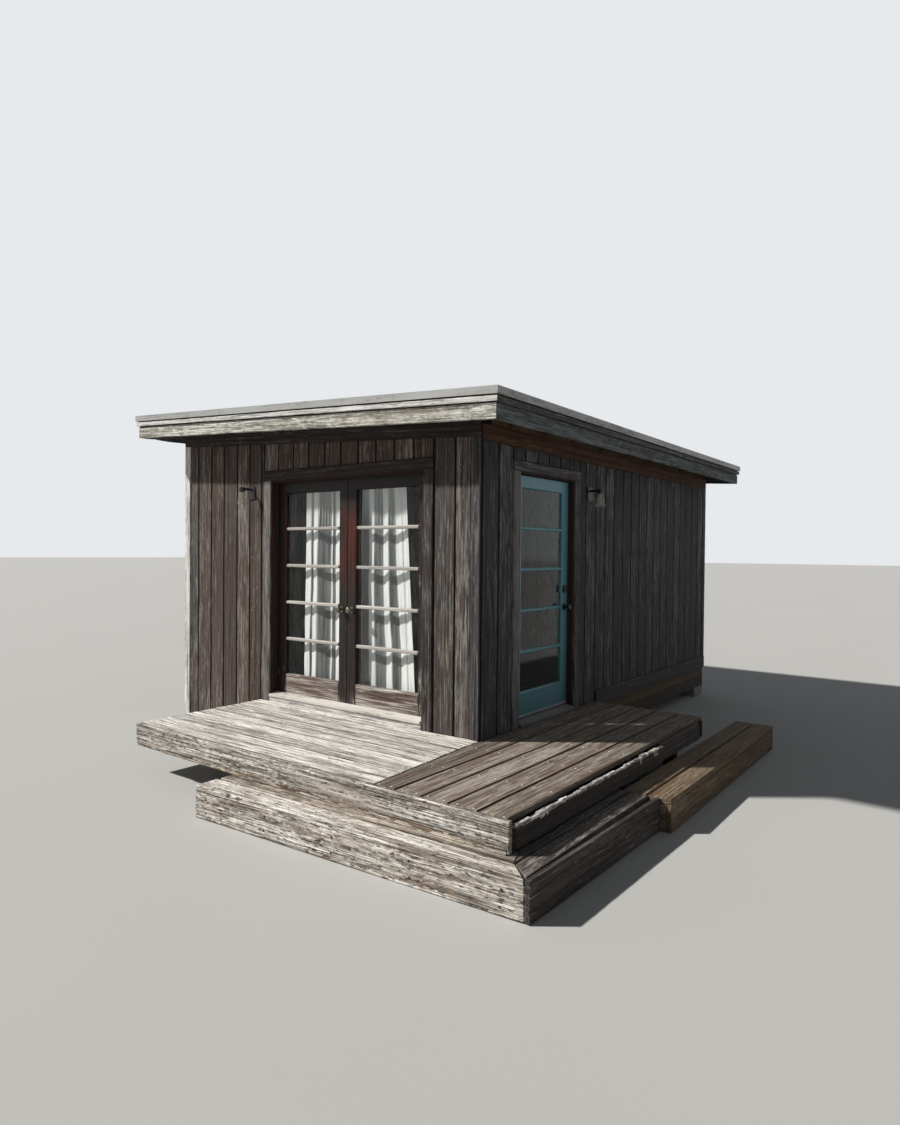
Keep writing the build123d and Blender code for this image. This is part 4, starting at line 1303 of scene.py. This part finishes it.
    def rims(self) -> None:
        """Close the edges of the deck."""
        pile = Woodpile("deck_rims", 42)
        pile.plank((self.left, self.rim_front, -0.184), (1.086, self.front, 0.0), 0, self.rough)
        pile.plank((1.071, self.front + HAIR, -0.165), (1.109, self.rim_end, -0.040), 1, self.rough, 1)
        self.splinters(pile)
        pile.plank((1.057, self.rim_end + HAIR, -0.165), (1.095, 1.780, -0.025), 1, self.rough, 1)
        finishes = make_materials(self.rim, self.rim_dark, self.splinter, self.split)
        pile.done(finishes, "deck_rim_wood", replaces=["deck_rim"])

    def nails(self) -> None:
        """Set nail heads in the boards."""
        heads = Nails("deck_nails", 43, 0.0078)
        spots = []
        for index, share in product(range(self.front_count), (0.25, 0.75)):
            y = self.front + (index + share) * self.pitch
            spots += [(self.skew * y / self.front - 0.030, y)]
            spots += [(-2.541 + line * self.nail_pitch, y) for line in range(6)]
        for row in range(7):
            y = self.front + 0.019 + row * self.row_pitch
            for index, share in product(range(self.side_count), (0.2, 0.8)):
                spots += [(self.side_board(index) + self.side_width * share, y)]
            spots += [(0.20, y), (0.06 + 0.04 * (y < 0), y)]
        for x, y in spots:
            heads.drive(Vector((x, y, 0)), Vector((0, 0, 1)))
        heads.done(self.nail.material())

    def build(self) -> None:
        """Make the deck."""
        self.boards()
        self.rims()
        self.nails()


@dataclass
class Steps:
    """The wrap-round step: treads over risers, bearers and a back board."""

    top: float = -0.1843
    left: float = -1.270
    corner: float = 1.332
    corner_far: float = 1.373
    front_end: float = 1.2937
    side_left: float = 1.105
    side_near: float = 0.140
    side_far: float = 2.810
    inner_left: float = 1.035
    inner_front: float = -1.200
    tread_wear: Wear = Wear(step=0.05, edge=0.005, wander=0.003)
    riser_wear: Wear = Wear(step=0.04, edge=0.005, wander=0.004, bite=0.004)
    pale: Timber = Timber(
        "step_pale", srgb(192, 183, 171), srgb(238, 233, 226), srgb(102, 90, 79), bleach=0.58,
        blotch=srgb(132, 110, 90), relief=0.003, check=4.0, knots=0.9, blob=20.0, pits=1.6, hair=0.8,
        grit=2.6,
    )
    worn: Timber = Timber(
        "step_worn", srgb(160, 147, 132), srgb(218, 209, 198), srgb(88, 76, 65), bleach=0.48, relief=0.002,
        check=3.4, blob=10.0, pits=1.0, hair=1.2,
    )
    dark: Timber = Timber(
        "step_dark", srgb(92, 85, 80), srgb(158, 151, 145), srgb(52, 46, 43), bleach=0.40, relief=0.003,
        check=3.4, blob=10.0, pits=0.8, hair=1.0,
    )
    ochre: Timber = Timber(
        "step_ochre", srgb(112, 95, 76), srgb(142, 127, 106), srgb(80, 65, 51), bleach=0.34,
        blotch=srgb(94, 70, 50), blotch_share=0.45, knots=0.9, check=1.6, band=60.0, pits=0.7, hair=0.8,
    )
    rust: Coated = Coated("rusted_nail", srgb(46, 38, 34), srgb(86, 62, 48), wear=0.3, rough=0.8, grit=200.0)

    def front_line(self, x: float, back: float = 0.0) -> float:
        """Y of the skewed front of the step at x."""
        return -1.610 + (1.610 - 1.482) / (self.corner - self.left) * (x - self.left) + back

    def treads(self, mats: Sequence[Material]) -> None:
        """Lay the treads.

        Args:
            mats: The finishes of the boards.
        """
        pile = Woodpile("step_boards", 51)
        left, inner, side = self.left, self.inner_front, self.side_near
        near, far, right, strip = side + HAIR, self.side_far, self.side_left, self.inner_left
        front = [(x, self.front_line(x)) for x in (left, self.front_end)]
        for plan, finish in (
            ([*front, (left, -1.419), (1.161, -1.355)], 0),
            ([(left, -1.405), (1.147, -1.341), (left, inner), (1.091, inner)], 1),
            ([(1.291, self.front_line(1.288) + 0.028), (1.288, side), (1.164, -1.352), (1.164, side)], 2),
            ([(1.1485, -1.338), (1.150, side), (1.094, -1.197), (1.094, side)], 2),
            ([(strip, -1.197), (strip, side), (1.0938, -1.197), (1.0938, side)], 2),
            ([(right, near), (right, far), (1.2705, near), (1.2705, far)], 3),
            ([(1.2845, near), (1.2845, far), (1.450, near), (1.450, far)], 3),
        ):
            pile.flat(plan, self.top, PLANK_THICK, self.tread_wear, finish)
        pile.done(mats, "step_wood", replaces=["step_treads"])

    def risers(self, mats: Sequence[Material]) -> None:
        """Stand the risers, bearers and back board.

        Args:
            mats: The finishes of the boards.
        """
        pile = Woodpile("step_risers", 52)
        foot, head, thick = GROUND, self.top - PLANK_THICK, PLANK_THICK
        ends = [(x, self.front_line(x)) for x in (self.left, self.front_end)]
        pile.stand(ends, [(x, y + thick) for x, y in ends], (foot, head), self.riser_wear, 0)
        turn = self.front_line(self.corner)
        outer = [(self.corner, turn), (self.corner_far, self.side_near)]
        pile.stand(outer, [(x - thick, y) for x, y in outer], (foot, self.top), self.riser_wear, 2)
        pile.plank((self.left, -1.238, foot), (1.091, self.inner_front, head), 0, Wear(), 1)
        for x in spaced(self.left, self.side_left - thick, 5):
            y = self.front_line(x + thick, thick + HAIR)
            pile.plank((x, y, foot), (x + thick, -1.2383, head), 1, Wear(), 1)
        skew = (self.corner_far - self.corner) / (self.side_near - turn)
        for x, y in ((1.164, -1.341), (self.inner_left, -0.6075), (self.inner_left, 0.102)):
            inside = 1.294 + skew * (y - turn) - HAIR
            pile.plank((x, y, foot), (inside, y + thick, head), 0, Wear(), 1)
        near = self.side_near + HAIR
        for x in (self.side_left, 1.412):
            pile.plank((x, near, foot), (x + thick, self.side_far, head), 1, self.riser_wear, 3)
        for y in spaced(near, self.side_far - thick, 5):
            pile.plank((1.1433, y, foot), (1.4117, y + thick, head), 0, Wear(), 3)
        pile.done(mats, "deck_rim_wood", replaces=["step_frames"])

    def nails(self) -> None:
        """Set rusted nail heads in the front and the right-hand riser."""
        heads = Nails("riser_nails", 53, 0.009)
        for x, height in product(spaced(-1.16, 1.16, 5), (self.top - PLANK_THICK - 0.045, GROUND + 0.050)):
            heads.drive(Vector((x, self.front_line(x), height)), Vector((0.05, -1, 0)).normalized())
        for share in (0, 1 / 3, 2 / 3):
            x, y = (near * (1 - share) + far * share for near, far in ((1.336, 1.366), (-1.37, -0.06)))
            heads.drive(Vector((x, y, self.top - 0.06)), Vector((1, -0.03, 0)).normalized())
        heads.done(self.rust.material())

    def build(self) -> None:
        """Make the step."""
        mats = make_materials(self.pale, self.worn, self.dark, self.ochre)
        self.treads(mats)
        self.risers(mats)
        self.nails()


@dataclass
class Curtain:
    """A gathered cotton curtain on the inside of one French leaf."""

    side: str
    top_span: Point
    foot_span: Point
    heights: Point
    middle: float
    pleats: Sequence[Point]
    seed: int
    material: Material
    swing: float = 0.0225
    most: float = 0.0232
    columns: int = 300
    rows: int = 70
    thick: float = 0.0008

    def profile(self, across: float) -> Point:
        """How far back the cloth lies, from -1 at a crest to 1 at the back of a pleat, and how much painted
        shade it takes there.

        Args:
            across: Share of the cloth's width.

        Returns:
            The share of the swing, and the share of painted shade on the slopes that run back.
        """
        for (start, near), (end, far) in zip(self.pleats, self.pleats[1:]):
            if across < end:
                share = max(0.0, (across - start) / (end - start))
                # Painted shade on the slopes that run back from a crest.
                return near + (far - near) * share, min(1.0, 0.5 + 3 * share) if far > near else 0.0
        return self.pleats[-1][1], 0.0

    def drape(self, across: float, up: float, shift: Vector) -> tuple[Vector, float]:
        """Where a point of the cloth hangs.

        Args:
            across: Share of the cloth's width.
            up: Share of its height.
            shift: Start of this curtain's own noise.

        Returns:
            The place from the near corner, and how much painted shade it takes.
        """
        def sway(*spot: float) -> float:
            """Noise of this curtain."""
            return noise.noise(Vector(spot) + shift)

        drop = 1 - up
        wander, ripple = sway(across * 2.2, drop * 1.1, 0), sway(across * 7.0, drop * 4.0, 1)
        gather = max(0.0, 1 - drop / 0.22)
        spot = across + (0.07 * wander + 0.03 * ripple) * min(1.0, drop * 2.0) * math.sin(math.pi * across)
        around = [self.profile(spot + step) for step in (-0.008, 0.0, 0.008)]
        back, deep = (sum(values) / 3 for values in zip(*around))
        pinch = math.sin(math.tau * 17 * across + 2.0 * wander)
        back = back * (1 - 0.45 * gather) + 0.3 * gather * pinch
        back *= 0.92 + 0.35 * sway(across * 5.0, drop * 1.6, 9)
        depth = self.swing * back + 0.005 * sway(across * 22, drop * 5.0, 2)
        depth += 0.006 * drop * sway(across * 9, drop * 9.0, 5)
        start, end = (low + (high - low) * up for low, high in zip(self.foot_span, self.top_span))
        foot, top = self.heights
        x = start + (end - start) * across
        y = self.middle + max(-self.most, min(self.most, depth))
        z = foot + (top - foot) * up + 0.005 * drop * drop * back
        # Painted shade: less under the gathered head, with more at random ripples lower down.
        return Vector((x, y, z)), min(1.0, max(0.0, deep * (1 - 0.5 * gather) + 0.25 * ripple * drop))

    def hang(self) -> None:
        cloth = bmesh.new()
        chart = cloth.loops.layers.uv.new("cloth")
        # A mesh layer with the share of painted shade, read by the cloth's material.
        painted_fold_shade = cloth.verts.layers.float.new("painted_fold_shade")
        bmesh.ops.create_grid(cloth, x_segments=self.columns, y_segments=self.rows, size=0.5, calc_uvs=True)
        luck = random.Random(self.seed)
        shift = Vector([luck.uniform(0, 30) for _ in range(3)])
        shares = {vert: (vert.co.x + 0.5, vert.co.y + 0.5) for vert in cloth.verts}
        for vert, (across, up) in shares.items():
            place, vert[painted_fold_shade] = self.drape(across, up, shift)
            vert.co = WALL_CORNER + place
        wide, tall = self.measure(cloth, shares), self.heights[1] - self.heights[0]
        for loop in (loop for made in cloth.faces for loop in made.loops):
            across, up = shares[loop.vert]
            loop[chart].uv = (across * wide, up * tall)
        node = f"curtain_{self.side}"
        made = piece(f"{node}_cloth", cloth, [self.material], f"french_{self.side}", [node])
        for polygon in made.data.polygons:
            polygon.use_smooth = True
        body = made.modifiers.new("thickness", "SOLIDIFY")
        body.thickness = self.thick
        body.offset = 0.0
        log.info("%s cut %.2f by %.2f m", made.name, wide, tall)

    def measure(self, cloth: bmesh.types.BMesh, shares: dict) -> float:
        """Length of the cloth along its width, as a mean over its height.

        Args:
            cloth: The cloth.
            shares: Each vertex's place on the flat cloth, from 0 to 1.

        Returns:
            The width it was cut to.
        """
        lines: dict[float, float] = {}
        for edge in cloth.edges:
            first, second = (shares[vert] for vert in edge.verts)
            if abs(first[1] - second[1]) < 1e-5:
                key = round(first[1], 4)
                lines[key] = lines.get(key, 0.0) + edge.calc_length()
        return sum(lines.values()) / len(lines)


@dataclass
class Doors:
    """Finishes of the leaves, frames, sills, glass and furniture, and the curtains."""

    red: Colour = srgb(80, 31, 20)
    red_faded: Colour = srgb(43, 36, 34)
    bare: Timber = Timber(
        "leaf_bare", srgb(188, 181, 173), srgb(230, 227, 222), srgb(112, 98, 89), bleach=0.56, grain=Grain.X,
        relief=0.001, check=2.0, hair=1.0,
    )
    jamb: Timber = Timber(
        "jamb_wood", srgb(62, 44, 37), srgb(98, 82, 73), srgb(40, 28, 25), grain=Grain.Z, bleach=0.25,
    )
    sill: Coated = Coated(
        "sill_paint", srgb(224, 220, 213), srgb(150, 136, 122), wear=0.4, rough=0.6, grit=26.0,
        stretch=(0.4, 1, 1),
    )
    grey_sill: Coated = Coated(
        "side_sill_paint", srgb(120, 116, 112), srgb(90, 84, 80), wear=0.4, rough=0.6, grit=26.0,
        stretch=(1, 0.4, 1),
    )
    teal: Coated = Coated(
        "teal_paint", srgb(84, 142, 156), srgb(134, 164, 168), wear=0.1, rough=0.38, grit=22.0,
        stretch=(1, 1, 0.4),
    )
    strip: Timber = Timber(
        "strip_pale", srgb(150, 160, 162), srgb(186, 190, 190), srgb(96, 110, 114), relief=0.0004,
    )
    brass: Coated = Coated(
        "aged_brass", srgb(126, 120, 110), srgb(58, 54, 50), wear=0.5, rough=0.34, metal=1.0, grit=60.0,
    )
    iron: Coated = Coated("black_iron", srgb(34, 33, 33), srgb(62, 58, 54), rough=0.42, metal=0.6, grit=60.0)
    pane: Glazing = Glazing("door_glass")
    gathered: float = 0.520
    # Its last colour is the painted shade in the backs of the curtain pleats.
    cotton: Cloth = Cloth("white_cotton", srgb(244, 245, 245), srgb(226, 229, 231), srgb(60, 64, 68))
    pleats: Sequence[Sequence[Point]] = (
        ((0.0, 0.6), (0.03, 0.2), (0.17, -0.6), (0.19, 0.0), (0.205, 0.02), (0.35, -1.0), (0.64, 1.0),
         (0.68, 0.5), (0.71, 0.9), (0.75, 0.95), (0.94, -0.8), (1.0, 0.9)),
        ((0.0, -0.4), (0.12, 1.0), (0.26, 0.1), (0.40, 0.95), (0.44, 1.0), (0.58, -0.2), (0.66, 0.95),
         (0.70, 1.0), (0.85, -0.2), (0.862, -0.05), (1.0, -1.0)),
    )

    def build(self) -> None:
        """Finish the doorways and hang the curtains."""
        for side, centre, meeting in (("left", -1.9535, 1.0), ("right", -1.0305, -1.0)):
            finish = LeafWood(f"varnish_{side}", self.red, self.red_faded, self.bare, centre, meeting)
            dress(finish.material(), f"french_leaf_{side}")
        for finish, nodes in (
            (self.pane, ("french_glass_left", "french_glass_right", "side_glass")),
            (self.jamb, ("front_door_frame", "side_door_frame")),
            (self.brass, ("french_furniture_left", "french_furniture_right", "fixed_hinge_plates")),
            (self.iron, ("side_furniture",)),
            (self.sill, ("front_door_sill",)),
            (self.grey_sill, ("side_door_sill",)),
            (self.teal, ("side_leaf",)),
        ):
            dress(finish.material(), *nodes)
        strip = Woodpile("weather_strip", 64)
        wear = Wear(step=0.2, edge=0.0008, wander=0.0003)
        strip.plank((-0.0479, 0.576, 0.057), (-0.044, 1.474, 0.074), 1, wear)
        strip.done([self.strip.material()], "teal_leaf", "side_door")
        cotton = self.cotton.material()
        for side, pleats, seed in (("left", self.pleats[0], 61), ("right", self.pleats[1], 62)):
            low, high = (Vector(corner) - WALL_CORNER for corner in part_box(f"curtain_{side}"))
            top = (high.x - self.gathered, high.x) if side == "left" else (low.x, low.x + self.gathered)
            foot, heights, middle = (low.x, high.x), (low.z, high.z), (low.y + high.y) / 2
            Curtain(side, top, foot, heights, middle, pleats, seed, cotton).hang()


@dataclass
class Carcass:
    """Finishes of the framing, floor, roof deck, piers and lights."""

    rough: Timber = Timber(
        "framing_x", srgb(112, 92, 72), srgb(142, 124, 104), srgb(80, 63, 48), grain=Grain.X, bleach=0.3,
    )
    # Darker than the other framing: painted shade for the skids and joists under the pod and the deck.
    long_shaded: Timber = Timber(
        "framing_y_painted_shade", srgb(60, 52, 45), srgb(88, 79, 70), srgb(40, 33, 28), grain=Grain.Y, bleach=0.3,
    )
    post: Timber = Timber(
        "framing_z", srgb(96, 80, 64), srgb(128, 112, 96), srgb(68, 54, 42), grain=Grain.Z, bleach=0.3,
    )
    ply: Timber = Timber(
        "plywood", srgb(152, 128, 100), srgb(178, 158, 132), srgb(120, 98, 74), grain=Grain.Y, bleach=0.3,
        relief=0.0004,
    )
    concrete: Coated = Coated(
        "cast_concrete", srgb(158, 154, 148), srgb(116, 112, 106), wear=0.35, rough=0.9, grit=45.0,
        relief=0.002,
    )
    bronze: Coated = Coated(
        "lamp_black", srgb(30, 28, 27), srgb(58, 52, 48), wear=0.15, rough=0.45, metal=0.2, grit=70.0,
    )
    shade: Glazing = Glazing("lamp_glass", tint=(0.92, 0.92, 0.89), dust=0.6, rough=0.12)

    def build(self) -> None:
        """Finish every node that keeps its own shape."""
        for finish, nodes in (
            (self.rough, ("roof_frame", "floor_frame")),
            (self.long_shaded, ("skids", "deck_joists")),
            (self.post, ("deck_posts",)),
            (self.ply, ("floor_boards", "roof_deck")),
            (self.concrete, ("pier_blocks",)),
            (self.bronze, ("light_brackets",)),
            (self.shade, ("light_shades",)),
        ):
            dress(finish.material(), *nodes)


@dataclass
class Studio:
    """Camera, lights, floor and backdrop."""

    eye: Triple = (4.5431, -6.5621, 1.8518)
    yaw: float = 0.6426
    pitch: float = -0.0146
    roll: float = 0.0088
    lens: float = 29.59
    sun: Triple = (-0.604, -0.453, 0.656)
    key: float = 4.5
    fill: float = 0.11
    floor_size: float = 150.0

    def camera(self) -> None:
        """Set the camera at the photograph's place."""
        across, along, level_share = math.sin(self.yaw), math.cos(self.yaw), math.cos(self.pitch)
        ahead = Vector((-across * level_share, along * level_share, math.sin(self.pitch)))
        level = Vector((along, across, 0))
        rise = level.cross(ahead)
        right = level * math.cos(self.roll) + rise * math.sin(self.roll)
        data = bpy.data.cameras.new("camera")
        data.sensor_fit = "HORIZONTAL"
        data.sensor_width = 36.0
        data.lens = self.lens
        data.clip_end = 500.0
        eye = bpy.data.objects.new("camera", data)
        stance = Matrix((right, right.cross(ahead), -ahead)).transposed().to_4x4()
        stance.translation = self.eye
        eye.matrix_world = stance
        bpy.context.collection.objects.link(eye)
        bpy.context.scene.camera = eye

    def light(self) -> None:
        """Light the model and its backdrop."""
        data = bpy.data.lights.new("key", "SUN")
        data.energy = self.key
        data.angle = math.radians(2)
        data.color = (1.0, 0.97, 0.92)
        key = bpy.data.objects.new("key", data)
        key.rotation_euler = Vector(self.sun).to_track_quat("Z", "Y").to_euler()
        bpy.context.collection.objects.link(key)
        tree = Tree(bpy.data.worlds.new("studio"))
        kinds = ("Camera", "Glossy", "Transmission")
        camera, glossy, through = (tree.node("ShaderNodeLightPath", out=f"Is {kind} Ray") for kind in kinds)
        fill, view = (
            tree.node("ShaderNodeBackground", None, {"Color": colour, "Strength": strength})
            for colour, strength in (((0.86, 0.93, 1.0), self.fill), ((0.80, 0.82, 0.84), 1.0))
        )
        seen = camera.most(glossy).most(through)
        bpy.context.scene.world = tree.finish(tree.blend(seen, fill, view), "World")

    def floor(self) -> None:
        """Lay the pale floor."""
        ground = bmesh.new()
        bmesh.ops.create_grid(ground, x_segments=1, y_segments=1, size=self.floor_size)
        tree = Tree(bpy.data.materials.new("studio_floor"))
        cloud = tree.noise(tree.here(), (0.35, 0.35, 0.35), 3, 0.5)
        colour = tree.mix(cloud, (0.47, 0.47, 0.46), (0.51, 0.51, 0.50))
        paint = tree.node("ShaderNodeBsdfPrincipled", None, {"Base Color": colour, "Roughness": 0.9})
        floor = shape("studio_floor", ground, [tree.finish(paint)])

    def build(self) -> None:
        """Set up the studio."""
        bpy.context.scene.view_settings.view_transform = "Standard"
        self.camera()
        self.light()
        self.floor()
        log.info("studio ready")


def main() -> None:
    """Build every part of the pod in order."""
    Studio().build()
    for part in (Siding(), WallTrim(), RoofEdge(), Deck(), Steps(), Doors(), Carcass()):
        part.build()
        log.info("%s done", type(part).__name__)


if __name__ == "__main__":
    main()
